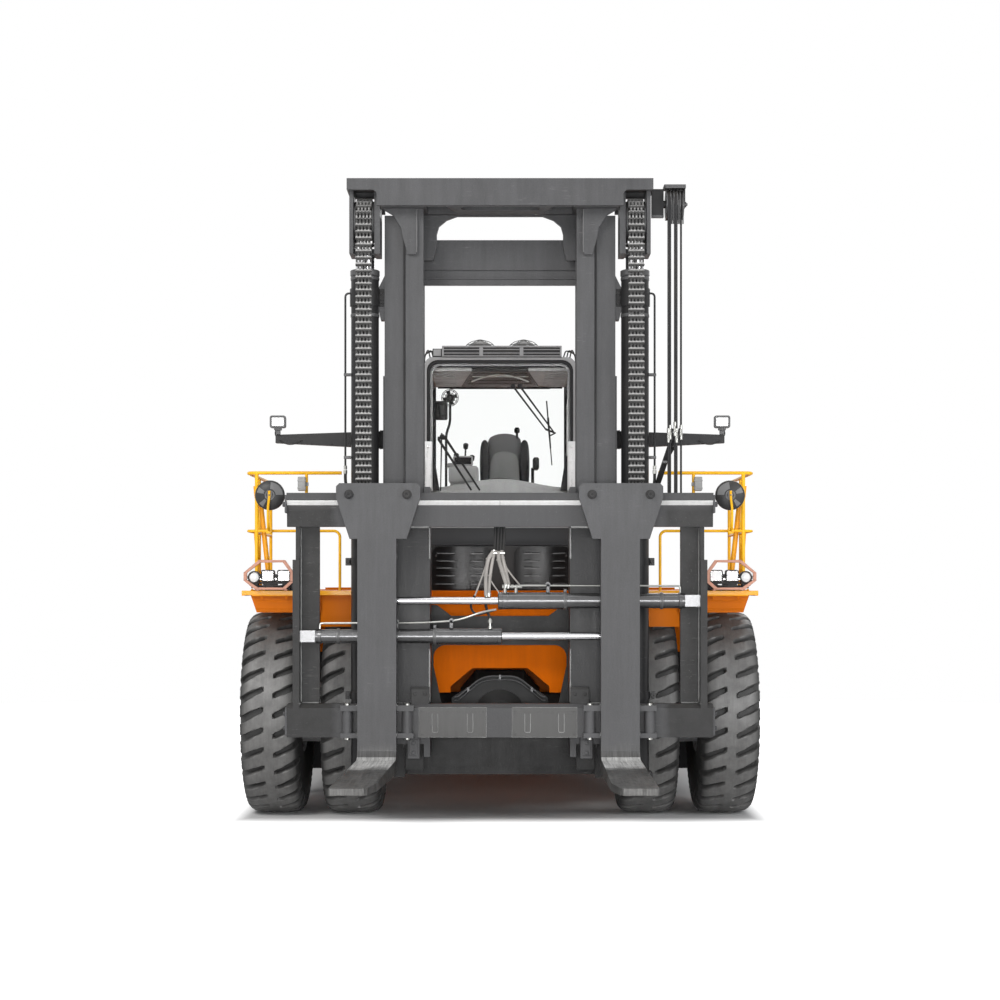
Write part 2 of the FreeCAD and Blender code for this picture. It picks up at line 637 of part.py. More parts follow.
def outer_mast():
    y0, y1 = OUT_Y1, OUT_Y1 + CROSS_T
    parts = []
    rail = outer_rail()
    parts += [rail, mirrored(rail)]
    parts.append(box(-OUT_X1, OUT_X1, y0, y1, 4425, CROSS_TOP))
    parts.append(box(-OUT_X1, OUT_X1, y0 + 16, y1, 4305, 4426))
    parts.append(box(-OUT_X1, OUT_X1, y0 + 4, y1, 4354, 4366))
    low = slab_y(y0, y1, [(-OUT_X1, OUT_BASE), (OUT_X1, OUT_BASE), (OUT_X1, 1745), (506, 1736),
                          (390, 1648), (-390, 1648), (-506, 1736), (-OUT_X1, 1745)])
    arch = slab_y(y0 - 5, y1 + 5, [(-430, 760), (430, 760), (493, 1054), (535, 1250),
                                   (535, 1415), (-535, 1415), (-535, 1250), (-493, 1054)])
    arch = round_edges(arch, 100, lambda e: along(e, V(0, 1, 0)) and e.Vertexes[0].Z > 1400)
    parts.append(low.cut(arch))
    parts.append(box(-740, 740, y0 - 60, y0, OUT_BASE, 660))
    for x0, x1 in ((712, 752), (808, 848)):
        lug = slab_x(x0, x1, [(y0 + 20, PIVOT_Z - 160), (PIVOT_Y, PIVOT_Z - 75),
                              (PIVOT_Y + 55, PIVOT_Z - 50), (PIVOT_Y + 55, PIVOT_Z + 50),
                              (PIVOT_Y, PIVOT_Z + 75), (y0 + 20, PIVOT_Z + 160)])
        parts += [lug, mirrored(lug)]
    for x0, x1 in ((742, 768), (832, 858)):
        lug = slab_x(x0, x1, [(y0 - 1, TILT_EYE_Z - 130), (TILT_EYE_Y + 50, TILT_EYE_Z - 55),
                              (TILT_EYE_Y + 50, TILT_EYE_Z + 55), (y0 - 1, TILT_EYE_Z + 130)])
        parts += [lug, mirrored(lug)]
    pin = cyl_x(705, 855, PIVOT_Y, PIVOT_Z, 45)
    eye = fuse([cyl_x(736, 775, TILT_EYE_Y, TILT_EYE_Z, 35),
                cyl_x(774, 826, TILT_EYE_Y, TILT_EYE_Z, 25),
                cyl_x(825, 864, TILT_EYE_Y, TILT_EYE_Z, 35)])
    foot = box(OUT_X1, CYL_X + CYL_R + 20, CYL_Y - 130, CYL_Y + 120, OUT_BASE, 430)
    clamp = slab_y(CYL_Y - 20, CYL_Y + 70, [(OUT_X1, 3980), (OUT_X1 + 30, 3980),
                                            (CYL_X - CYL_R + 8, 4080),
                                            (CYL_X - CYL_R + 8, 4220), (OUT_X1, 4330)])
    clamp = clamp.cut(cyl_z(CYL_X, CYL_Y, 3900, 4400, CYL_R + SEAT))
    back_y = CYL_Y + SHEAVE_R
    anchor = box(CYL_X - 73, CYL_X + 67, back_y - 30, back_y + 30, 2230, 2420)
    brace = box(OUT_X1, CYL_X - 68, -925, max(-780, back_y + 20), 2250, 2400)
    strip = box(OUT_X1, OUT_X1 + 12, OUT_Y0 + 10, OUT_Y0 + 120, OUT_BASE, 3540)
    arm = slab_y(-860, -790, [(OUT_X1, 2985), (OUT_X1, 3125), (1790, 3095), (1790, 3030)])
    roller = cyl_x(IN_X1 - 50, IN_X1 + 2, -970, 4560, 100)
    stub = cyl_x(IN_X1 + 1, OUT_X1 - WEB + 5, -930, 4560, 45)
    for s in (pin, eye, foot, clamp, anchor, brace, strip, arm, roller, stub):
        parts += [s, mirrored(s)]
    return fuse(parts)


def lift_barrels():
    z0 = 430
    body = cyl_z(CYL_X, CYL_Y, z0, BARREL_TOP, CYL_R)
    bore = cyl_z(CYL_X, CYL_Y, z0 + 60, BARREL_TOP - 90, 92)
    neck = cyl_z(CYL_X, CYL_Y, BARREL_TOP - 100, BARREL_TOP + 1, ROD_R + 0.6)
    return pair(body.cut(bore).cut(neck))


def work_lights():
    lamp = box(1704, 1829, -900, -861, 3116, 3213)
    stem = box(1750, 1785, -880, -840, 3097, 3117)
    return pair(fuse([lamp, stem]))


# ---------------------------------------------------------------- inner mast

def inner_rail():
    rail = box(IN_X0, IN_X1, IN_Y0, IN_Y1, IN_BASE, IN_TOP)
    c = (IN_X0 + IN_X1) / 2
    y0, y1 = IN_Y0 + FLANGE, IN_Y1 - FLANGE
    inner = box(IN_X0 - 1, c - WEB / 2, y0, y1, IN_BASE - 1, IN_TOP + 1)
    outer = box(c + WEB / 2, IN_X1 + 1, y0, y1, IN_BASE - 1, IN_TOP + 1)
    return rail.cut(inner).cut(outer)


def mast_head_plate():
    plate = box(-931, 931, IN_Y0 - 131, IN_Y1, IN_TOP, IN_TOP + 40)
    for s in (-1, 1):
        x0, x1 = sorted((s * (OUT_X0 - RUN), s * 940))
        plate = plate.cut(box(x0, x1, OUT_Y0 - RUN, IN_Y1 + 1, IN_TOP - 1, IN_TOP + 41))
    slot = box(-225, 225, -1240, -1070, IN_TOP - 1, IN_TOP + 41)
    for s in (-1, 1):
        slot = slot.fuse(cyl_z(s * 225, -1155, IN_TOP - 1, IN_TOP + 41, 85))
        side = slab_z(IN_TOP - 1, IN_TOP + 41, [(s * 425, -1250), (s * 575, -1250),
                                                (s * 575, -930), (s * 335, -930)])
        plate = plate.cut(side)
    return plate.cut(slot)


def mast_yoke():
    right = [(341, 4838), (425, 4807), (485, 4757), (503, 4695), (504, 4593), (532, 4484),
             (615, 4484), (615, IN_TOP + 20)]
    left = [(-x, z) for x, z in reversed(right)]
    return slab_y(IN_Y1 - 50, IN_Y1, right + left)


def inner_mast():
    rail = inner_rail()
    parts = [rail, mirrored(rail)]
    beam = box(-BEAM_X, BEAM_X, IN_Y0 - 170, IN_Y0 - 130, IN_TOP, BEAM_TOP)
    top = box(-BEAM_X, BEAM_X, IN_Y0 - 170, -880, BEAM_TOP - 40, BEAM_TOP)
    back = box(-BEAM_X, BEAM_X, -920, -880, IN_TOP, BEAM_TOP)
    for s in (-1, 1):
        x0, x1 = sorted((s * 958, s * 1191))
        mouth = box(x0, x1, IN_Y0 - 200, IN_Y0 - 100, IN_TOP - 1, 4965)
        inner_corner = min(abs(x0), abs(x1)) + 1
        mouth = round_edges(mouth, 38, lambda e: along(e, V(0, 1, 0))
                            and e.Vertexes[0].Z > 4900 and abs(e.Vertexes[0].X) < inner_corner)
        beam = beam.cut(mouth)
        x0, x1 = sorted((s * 957, s * 1147))
        back = back.cut(box(x0, x1, -1000, -800, IN_TOP - 1, 4967))
        x0, x1 = sorted((s * (OUT_X0 - RUN), s * (OUT_X1 + RUN)))
        back = back.cut(box(x0, x1, -1000, -800, IN_TOP - 1, OUT_TOP + 100 + RUN))
    parts += [beam, top, back, mast_head_plate(), mast_yoke()]
    parts.append(box(-IN_X1, IN_X1, IN_Y1 - 35, IN_Y1, IN_BASE, 760))
    parts.append(box(-IN_X1, IN_X1, IN_Y1 - 35, IN_Y1, 2390, 2590))
    for x0, x1 in ((936, 981), (1145, 1176)):
        cheek = box(x0, x1, CYL_Y - 150, CYL_Y + 130, 4483, 5013)
        parts += [cheek, mirrored(cheek)]
    close = box(BEAM_X - 14, BEAM_X, IN_Y0 - 170, -880, 4965, BEAM_TOP)
    parts += [close, mirrored(close)]
    foot = box(936, 1176, CYL_Y - 80, CYL_Y + 80, 4483, 4530)
    parts += [foot, mirrored(foot)]
    axle = cyl_x(940, 1160, CYL_Y, SHEAVE_Z, 45)
    parts += [axle, mirrored(axle)]
    gusset = slab_y(IN_Y0 - 30, IN_Y0, [
        (650, IN_TOP), (931, IN_TOP), (918, 4838), (833, 4788), (772, 4691), (754, 4593),
        (723, 4490), (717, 4484), (662, 4484), (650, 4500)])
    parts += [gusset, mirrored(gusset)]
    roller = cyl_x(OUT_X0 + 1, OUT_X1 - WEB - 8, -920, 700, 125)
    stub = cyl_x((IN_X0 + IN_X1) / 2, OUT_X0 + 2, -920, 700, 55)
    parts += [roller, stub, mirrored(roller), mirrored(stub)]
    return fuse(parts)


def lift_rods():
    rod = cyl_z(CYL_X, CYL_Y, 2150, 4483, ROD_R)
    head = cyl_z(CYL_X, CYL_Y, 2150, 2270, 91)
    return pair(rod.fuse(head))


def chain_sheaves():
    r = SHEAVE_R - CHAIN_T / 2
    h = CHAIN_W / 2 + 4
    c = CYL_X
    wheel = cyl_x(c - h, c + h, CYL_Y, SHEAVE_Z, r - SEAT)
    for x0, x1 in ((c - h - 12, c - h), (c + h, c + h + 12)):
        wheel = wheel.fuse(cyl_x(x0, x1, CYL_Y, SHEAVE_Z, r + 22))
    return pair(wheel.cut(cyl_x(900, 1200, CYL_Y, SHEAVE_Z, 45 + SEAT)))


def chain_strand(y_mid, z0, z1):
    x0 = CYL_X - CHAIN_W / 2
    return box(x0, x0 + CHAIN_W, y_mid - CHAIN_T / 2, y_mid + CHAIN_T / 2, z0, z1)


def front_chains():
    y_f = CYL_Y - SHEAVE_R
    x0 = CYL_X - CHAIN_W / 2
    strand = chain_strand(y_f, 2520 + SEAT, SHEAVE_Z)
    arc = ring_x(x0, x0 + CHAIN_W, CYL_Y, SHEAVE_Z, SHEAVE_R - CHAIN_T / 2,
                 SHEAVE_R + CHAIN_T / 2)
    arc = arc.cut(box(900, 1300, -2000, 0, 4000, SHEAVE_Z))
    return pair(strand.fuse(arc))


def back_chains():
    return pair(chain_strand(CYL_Y + SHEAVE_R, 2425, SHEAVE_Z - SEAT))


def hose_pulley():
    arm = box(BEAM_X, 1283, -1135, -1065, 4783, 5000)
    guard = box(1282, 1451, -1200, -1065, PULLEY_Z + PULLEY_R + 6, PULLEY_Z + PULLEY_R + 33)
    end = box(1443, 1451, -1150, -1065, PULLEY_Z - 30, PULLEY_Z + PULLEY_R + 10)
    axle = cyl_x(1282, 1450, -1100, PULLEY_Z, 30)
    wheel = cyl_x(1300, 1438, -1100, PULLEY_Z, PULLEY_R)
    return fuse([arm, guard, end, axle, wheel])


def mast_hoses():
    hoses = []
    for x in (1325, 1350, 1392, 1420):
        r = PULLEY_R + 13.5
        hoses.append(tube([(x, -1100 - r, 2700), (x, -1100 - r, PULLEY_Z)], 13, 50))
    return group(hoses)


# ---------------------------------------------------------------- carriage

def carriage():
    up = [
        (UP_Y0 + 40, UP_Z0), (UP_Y1, UP_Z0), (UP_Y1, UP_Z1), (UP_Y0, UP_Z1),
        (UP_Y0, UP_Z1 - 60), (UP_Y0 + 34, UP_Z1 - 93),
    ]
    parts = [slab_x(-CAR_X, CAR_X, up)]
    low = [
        (LOW_Y0, LOW_Z0), (LOW_Y0 + 130, LOW_Z0), (LOW_Y0 + 130, LOW_Z1),
        (LOW_Y0 + 30, LOW_Z1), (LOW_Y0, LOW_Z1 - 30),
    ]
    parts.append(slab_x(-CAR_X, CAR_X, low))
    column = box(1403, 1562, -1255, -1215, LOW_Z0, UP_Z0 + 60)
    end = box(1548, 1601, LOW_Y0, -1215, LOW_Z0, 2092)
    end = end.fuse(box(1548, 1581, LOW_Y0 + 45, -1215, 2091, UP_Z0 + 20))
    inner = box(545, 812, UP_Y1, UP_Y1 + PLATE_T - 5, LOW_Z0 - 60, UP_Z1 - 30)
    wing = box(545, 592, UP_Y1, -865, 560, 2660)
    lug = box(CYL_X - 62, CYL_X + 62, UP_Y1 - 1, CYL_Y - CYL_R - 2 * RUN, 2380, 2520)
    for s in (column, end, inner, wing, lug):
        parts += [s, mirrored(s)]
    body = fuse(parts)
    rollers = []
    c = (IN_X0 + IN_X1) / 2 - WEB / 2 - 6
    for z in (720, 1500, 2440):
        roller = cyl_x(591, c, -970, z, 112)
        rollers += [roller, mirrored(roller)]
    return fuse([body] + rollers)


def positioner_barrels():
    z_low, z_up = 1500.0, 1775.0
    low = cyl_x(-1430, 15, POS_Y, z_low, 54).cut(cyl_x(-1400, 16, POS_Y, z_low, 40))
    gland = ring_x(-40, 15, POS_Y, z_low, 29.2, 41)
    up = cyl_x(-15, 1430, POS_Y, z_up, 58).cut(cyl_x(-16, 1400, POS_Y, z_up, 44))
    gland2 = ring_x(-15, 40, POS_Y, z_up, 29.2, 45)
    lug_a = box(-1547.7, -1425, POS_Y - 20, POS_Y + 20, z_low - 45, z_low + 45)
    lug_b = box(1425, 1547.7, POS_Y - 20, POS_Y + 20, z_up - 45, z_up + 45)
    return group([fuse([low, gland, lug_a]), fuse([up, gland2, lug_b])])


def positioner_rod(z, sign):
    fork_x = FORK_LEFT[0] if sign > 0 else FORK_RIGHT[0]
    x0, x1 = sorted((-sign * 600, sign * (fork_x - FORK_W / 2 + 30)))
    rod = cyl_x(x0, x1, POS_Y, z, 28.5)
    h0, h1 = sorted((-sign * 600, -sign * 540))
    return rod.fuse(cyl_x(h0, h1, POS_Y, z, 39))


def fork(sign):
    x, hook_shift, tip_shift = FORK_LEFT if sign > 0 else FORK_RIGHT
    w = FORK_W / 2
    y1 = SHANK_Y0 + FORK_T
    profile = [
        (y1, HEEL_Z - FORK_T + 60), (y1, 2300), (SHANK_Y0, 2300), (SHANK_Y0, HEEL_Z + 62),
        (SHANK_Y0 - 30, HEEL_Z + 18), (SHANK_Y0 - 95, HEEL_Z), (FORK_TIP_Y, HEEL_Z),
        (FORK_TIP_Y, HEEL_Z - TIP_T), (SHANK_Y0 - 100, HEEL_Z - FORK_T),
        (y1 - 60, HEEL_Z - FORK_T),
    ]
    t = x + tip_shift
    plan = [
        (x - w, -1300), (x - w, -1700), (t - w, FORK_TIP_Y + 380),
        (t - w + FORK_W - TIP_W, FORK_TIP_Y + 20), (t - w + 60, FORK_TIP_Y),
        (t + w - 8, FORK_TIP_Y), (t + w, FORK_TIP_Y + 12), (x + w, -1700), (x + w, -1300),
    ]
    blade = slab_x(x - w - 60, x + w + 60, profile).common(slab_z(300, 2400, plan))
    c = x + hook_shift
    h = HOOK_W / 2
    foot = c + HOOK_FOOT / 2
    hook = slab_y(SHANK_Y0, -1410, [
        (x - w, 2200), (x + w, 2200), (x + w, 2251), (foot, 2251), (c + h, 2566),
        (c + h, HOOK_TOP - 25), (c + h - 25, HOOK_TOP), (c - h + 25, HOOK_TOP),
        (c - h, HOOK_TOP - 25), (c - h, 2566), (foot - HOOK_FOOT, 2251), (x - w, 2251)])
    cap = box(c - h + 40, c + h - 40, -1411, UP_Y1 - 6, UP_Z1 + 5, HOOK_TOP)
    keeper = box(x - w + 30, x + w - 30, -1401, LOW_Y0 - 6, LOW_Z0 + 20, LOW_Z1 - 60)
    z = 1500.0 if sign > 0 else 1775.0
    ear = box(x - w + 20, x - w + 60, y1 - 1, POS_Y + 50, z - 60, z + 60)
    ear = ear.cut(cyl_x(x - w, x + w, POS_Y, z, 29))
    parts = [blade, hook, cap, keeper, ear]
    for s in (-1, 1):
        a, b = sorted((x + s * (w - 1), x + s * (w + 132)))
        parts.append(box(a, b, -1474, LOW_Y0 - 8, LOW_Z1 - 48, LOW_Z1 - 4))
        parts.append(box(a, b, -1474, LOW_Y0 - 8, LOW_Z0 + 2, LOW_Z0 + 38))
        parts.append(cyl_z(x + s * (w + 82), -1431, LOW_Z0 + 37, LOW_Z1 - 47, 41))
    body = fuse(parts)
    return body if sign > 0 else mirrored(body)


# ---------------------------------------------------------------- tilt cylinders

def tilt_direction():
    return V(0, TILT_EYE_Y - TILT_PIN_Y, TILT_EYE_Z - TILT_PIN_Z)


def tilt_barrel():
    d = tilt_direction().normalize()
    a = V(TILT_X, TILT_PIN_Y, TILT_PIN_Z)
    eye = cyl_x(TILT_X - 24, TILT_X + 24, TILT_PIN_Y, TILT_PIN_Z, 72)
    body = cyl_between(a + d * 55, a + d * 1150, TILT_R)
    bore = cyl_between(a + d * 110, a + d * 1080, 70)
    neck = cyl_between(a + d * 1070, a + d * 1151, TILT_ROD_R + 0.6)
    body = body.cut(bore).cut(neck).cut(box(700, TILT_X - 26, TILT_PIN_Y - 110, TILT_PIN_Y + 80,
                                            TILT_PIN_Z - 100, TILT_PIN_Z + 100))
    body = body.cut(box(TILT_X + 26, 900, TILT_PIN_Y - 110, TILT_PIN_Y + 80,
                        TILT_PIN_Z - 100, TILT_PIN_Z + 100))
    return eye.fuse(body).cut(cyl_x(700, 900, TILT_PIN_Y, TILT_PIN_Z, 40 + SEAT))


def tilt_rod():
    d = tilt_direction().normalize()
    b = V(TILT_X, TILT_EYE_Y, TILT_EYE_Z)
    eye = cyl_x(TILT_X - 22, TILT_X + 22, TILT_EYE_Y, TILT_EYE_Z, 62)
    neck = cyl_between(b - d * 48, b - d * 118, 21)
    rod = cyl_between(b - d * 110, b - d * 850, TILT_ROD_R)
    head = cyl_between(b - d * 790, b - d * 850, 68)
    return fuse([eye, neck, rod, head]).cut(cyl_x(700, 900, TILT_EYE_Y, TILT_EYE_Z, 35 + SEAT))


# ---------------------------------------------------------------- saving

def main():
    os.makedirs("parts", exist_ok=True)
    tyres = group([tyre(TWIN_IN_X, 0), tyre(TWIN_OUT_X, 0)])
    rim = front_rim()
    rear_tyre = tyre(STEER_X, WHEELBASE)
    rear = rear_rim()
    save("front_tyres_left", tyres)
    save("front_tyres_right", mirrored(tyres))
    save("front_rims_left", rim)
    save("front_rims_right", mirrored(rim))
    save("rear_tyre_left", rear_tyre)
    save("rear_tyre_right", mirrored(rear_tyre))
    save("rear_rim_left", rear)
    save("rear_rim_right", mirrored(rear))
    save("front_axle", front_axle())
    save("rear_axle", rear_axle())
    save("steer_knuckle_left", knuckle())
    save("steer_knuckle_right", mirrored(knuckle()))
    save("tie_link_left", tie_link())
    save("tie_link_right", mirrored(tie_link()))
    save("steering_rod", steer_rod())
    save("chassis_frame", chassis_frame())
    save("front_fenders", fenders())
    save("deck_plates", deck_plates())
    tank, locker = side_boxes()
    save("side_box_left", tank)
    save("side_box_right", locker)
    save("access_steps", steps())
    save("counterweight", counterweight())
    save("power_bay", power_bay())
    save("battery_pack", battery_pack())
    save("power_hood", power_hood())
    save("front_covers", front_covers())
    save("cab_riser", cab_riser())
    save("cab_shell", cab_shell())
    save("cab_glass", cab_glass())
    save("cab_door_left", door())
    save("cab_door_right", mirrored(door()))
    save("door_glass_left", door_glass())
    save("door_glass_right", mirrored(door_glass()))
    save("cab_seat", cab_seat())
    save("cab_controls", cab_controls())
    save("roof_unit", roof_unit())
    save("handrails", handrails())
    save("mirrors", mirrors())
    save("front_lights", front_lights())
    save("outer_mast", outer_mast())
    save("lift_barrels", lift_barrels())
    save("work_lights", work_lights())
    save("inner_mast", inner_mast())
    save("lift_rods", lift_rods())
    save("chain_sheaves", chain_sheaves())
    save("front_chains", front_chains())
    save("back_chains", back_chains())
    save("hose_pulley", hose_pulley())
    save("mast_hoses", mast_hoses())
    save("carriage", carriage())
    save("positioner_barrels", positioner_barrels())
    save("positioner_rod_left", positioner_rod(1500.0, 1))
    save("positioner_rod_right", positioner_rod(1775.0, -1))
    save("fork_left", fork(1))
    save("fork_right", fork(-1))
    save("tilt_barrel_left", tilt_barrel())
    save("tilt_barrel_right", mirrored(tilt_barrel()))
    save("tilt_rod_left", tilt_rod())
    save("tilt_rod_right", mirrored(tilt_rod()))


main()
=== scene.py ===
# Large electric lift truck with a twin rail mast, seen from the fork side.
import math
import random

import bmesh
import bpy
from mathutils import Matrix, Vector


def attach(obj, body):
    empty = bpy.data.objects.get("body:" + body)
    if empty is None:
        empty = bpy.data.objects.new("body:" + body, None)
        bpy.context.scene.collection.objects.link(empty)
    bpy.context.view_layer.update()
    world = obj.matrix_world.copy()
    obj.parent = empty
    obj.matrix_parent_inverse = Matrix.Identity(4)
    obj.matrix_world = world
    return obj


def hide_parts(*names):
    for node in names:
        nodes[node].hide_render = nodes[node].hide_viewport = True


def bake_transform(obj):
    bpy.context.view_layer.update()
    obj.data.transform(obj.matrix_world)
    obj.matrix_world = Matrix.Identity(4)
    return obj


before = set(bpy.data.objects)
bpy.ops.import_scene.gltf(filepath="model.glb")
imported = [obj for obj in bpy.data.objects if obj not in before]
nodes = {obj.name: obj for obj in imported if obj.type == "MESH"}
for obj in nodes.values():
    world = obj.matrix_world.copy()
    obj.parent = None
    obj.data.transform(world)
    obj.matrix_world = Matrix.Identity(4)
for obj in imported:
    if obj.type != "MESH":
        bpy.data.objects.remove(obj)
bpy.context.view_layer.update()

# Camera. A long lens, level, standing in front of the forks at cab step
# height; the frame is shifted up so that the whole mast is in view.
AXLE_Y = -1.30
camera_data = bpy.data.cameras.new("camera")
camera_data.sensor_width = 36
camera_data.lens = 73.2
camera_data.shift_y = 0.085
camera_data.clip_end = 200
camera = bpy.data.objects.new("camera", camera_data)
camera.location = (0, AXLE_Y - 17.07, 1.897)
camera.rotation_euler = (math.radians(90), 0, 0)
bpy.context.collection.objects.link(camera)
bpy.context.scene.camera = camera

# Studio. A pale floor, white behind the truck, two broad soft lamps in front
# and above, one overhead, one behind, a low one in front and an even sky.
scene = bpy.context.scene
scene.view_settings.view_transform = "Standard"
world = bpy.data.worlds.new("studio")
scene.world = world
world.use_nodes = True


def maths(tree, operation, a, b):
    node = tree.nodes.new("ShaderNodeMath")
    node.operation = operation
    for slot, value in ((0, a), (1, b)):
        if isinstance(value, (int, float)):
            node.inputs[slot].default_value = value
        else:
            tree.links.new(value, node.inputs[slot])
    return node.outputs[0]


def remap(tree, value, low, high, to_low=0.0, to_high=1.0, kind="LINEAR"):
    """Steps a value from one range to another; low and high may be sockets."""
    node = tree.nodes.new("ShaderNodeMapRange")
    node.interpolation_type = kind
    for slot, number in ((0, value), (1, low), (2, high), (3, to_low), (4, to_high)):
        if isinstance(number, (int, float)):
            node.inputs[slot].default_value = number
        else:
            tree.links.new(number, node.inputs[slot])
    return node.outputs[0]


def place_of(tree):
    return tree.nodes.new("ShaderNodeTexCoord").outputs["Object"]


def axes(tree, vector):
    """The X, Y and Z of a vector."""
    node = tree.nodes.new("ShaderNodeSeparateXYZ")
    tree.links.new(vector, node.inputs[0])
    return node.outputs


def backdrop(colour, strength):
    node = world.node_tree.nodes.new("ShaderNodeBackground")
    node.inputs["Color"].default_value = (*colour, 1)
    node.inputs["Strength"].default_value = strength
    return node.outputs[0]


sky_nodes, sky_links = world.node_tree.nodes, world.node_tree.links
sky_nodes.clear()
ray = sky_nodes.new("ShaderNodeLightPath").outputs
direct = maths(world.node_tree, "MAXIMUM", ray["Is Camera Ray"], ray["Is Transmission Ray"])
seen = maths(world.node_tree, "MAXIMUM", direct, ray["Is Glossy Ray"])
shown = sky_nodes.new("ShaderNodeMixShader")
for slot, value in enumerate((seen, backdrop((0.95, 0.97, 1), 0.25), backdrop((1, 1, 1), 1))):
    sky_links.new(value, shown.inputs[slot])
sky_links.new(shown.outputs[0], sky_nodes.new("ShaderNodeOutputWorld").inputs["Surface"])


def lamp(name, place, target, size, power, colour=(1, 1, 1)):
    data = bpy.data.lights.new(name, "AREA")
    data.shape = "RECTANGLE"
    data.size, data.size_y = size
    data.energy = power
    data.color = colour
    obj = bpy.data.objects.new(name, data)
    obj.location = place
    obj.rotation_euler = (Vector(target) - Vector(place)).to_track_quat("-Z", "Y").to_euler()
    bpy.context.collection.objects.link(obj)


lamp("key_lamp", (-7, -13, 10), (0, -2, 2), (7, 5), 1250, (1, 0.99, 0.97))
lamp("fill_lamp", (9, -12, 6), (0, -2, 2), (7, 6), 750, (0.98, 0.99, 1))
lamp("top_lamp", (0, 0, 14), (0, 0, 0), (12, 14), 650)
lamp("rear_lamp", (6, 15, 9), (0, 2, 2), (8, 6), 500)
lamp("low_lamp", (0, -15, 1.6), (0, -1, 1.5), (7, 1.6), 620)

FLOOR_RADIUS = 16
FLOOR_SIDES = 96
floor_mesh = bpy.data.meshes.new("floor")
corners = [2 * math.pi * i / FLOOR_SIDES for i in range(FLOOR_SIDES)]
floor_mesh.from_pydata([(FLOOR_RADIUS * math.cos(t), FLOOR_RADIUS * math.sin(t), 0) for t in corners], [],
                       [tuple(range(FLOOR_SIDES))])
floor = bpy.data.objects.new("floor", floor_mesh)
bpy.context.collection.objects.link(floor)

# The floor glows white to the camera outside a box that ends just beyond the truck.
floor_material = bpy.data.materials.new("floor")
floor_material.use_nodes = True
tree = floor_material.node_tree
place = axes(tree, place_of(tree))
beside = remap(tree, maths(tree, "ABSOLUTE", place["X"], 0), 2.02, 2.28, 0, 1, "SMOOTHSTEP")
before = remap(tree, place["Y"], -2.35, -1.75, 1, 0, "SMOOTHSTEP")
behind = remap(tree, place["Y"], 5.3, 6.2, 0, 1, "SMOOTHSTEP")
clear = maths(tree, "MAXIMUM", beside, maths(tree, "MAXIMUM", before, behind))
ray = tree.nodes.new("ShaderNodeLightPath").outputs
seen = maths(tree, "MAXIMUM", ray["Is Camera Ray"], ray["Is Transmission Ray"])
floor_paint = tree.nodes["Principled BSDF"]
tree.links.new(maths(tree, "MULTIPLY", seen, clear), floor_paint.inputs["Emission Strength"])
floor_paint.inputs["Emission Color"].default_value = (1, 1, 1, 1)
floor_paint.inputs["Base Color"].default_value = (0.80, 0.80, 0.80, 1)
floor_paint.inputs["Roughness"].default_value = 0.9
floor_paint.inputs["Specular IOR Level"].default_value = 0.0
floor_mesh.materials.append(floor_material)

# Chassis frame. Welded from thick steel plate, shot blasted and sprayed with
# orange two pack enamel; edges are rubbed to primer and dust lies on top.


def effect(name, inputs, outputs):
    """Empty node group with named number sockets, its input node and its output node."""
    tree = bpy.data.node_groups.new(name, "ShaderNodeTree")
    for label, value in inputs:
        socket = tree.interface.new_socket(label, in_out="INPUT", socket_type="NodeSocketFloat")
        socket.default_value = value
    for label in outputs:
        tree.interface.new_socket(label, in_out="OUTPUT", socket_type="NodeSocketFloat")
    return tree, tree.nodes.new("NodeGroupInput"), tree.nodes.new("NodeGroupOutput")


def facing(tree):
    return axes(tree, tree.nodes.new("ShaderNodeNewGeometry").outputs["Normal"])


def stretched(tree, place, scale, turn=(0, 0, 0)):
    node = tree.nodes.new("ShaderNodeMapping")
    node.inputs["Scale"].default_value = scale
    node.inputs["Rotation"].default_value = turn
    tree.links.new(place, node.inputs["Vector"])
    return node.outputs[0]


def noise(tree, place, scale, detail=3.0, rough=0.55):
    node = tree.nodes.new("ShaderNodeTexNoise")
    node.inputs["Scale"].default_value = scale
    node.inputs["Detail"].default_value = detail
    node.inputs["Roughness"].default_value = rough
    tree.links.new(place, node.inputs["Vector"])
    return node.outputs["Fac"]


def build_rubbed_edges():
    tree, ins, outs = effect("rubbed_edges", [("Wear", 0.5)], ["Mask"])
    where = place_of(tree)
    ragged = remap(tree, noise(tree, where, 19, 6, 0.75), 0.36, 0.60)
    tree.links.new(maths(tree, "MULTIPLY", ragged, ins.outputs["Wear"]), outs.inputs["Mask"])
    return tree


def build_scuffs():
    tree, ins, outs = effect("scuffs", [("Amount", 0.2)], ["Mask"])
    where = place_of(tree)
    drawn = stretched(tree, where, (9, 9, 90), (0.1, 0.35, 0))
    lines = remap(tree, noise(tree, drawn, 1.0, 4, 0.6), 0.60, 0.68)
    patches = remap(tree, noise(tree, where, 2.6, 5, 0.7), 0.52, 0.66)
    specks = remap(tree, noise(tree, where, 75, 3, 0.6), 0.66, 0.74)
    marks = maths(tree, "MAXIMUM", maths(tree, "MULTIPLY", lines, patches),
                  maths(tree, "MULTIPLY", specks, 0.6))
    tree.links.new(maths(tree, "MULTIPLY", marks, ins.outputs["Amount"]), outs.inputs["Mask"])
    return tree


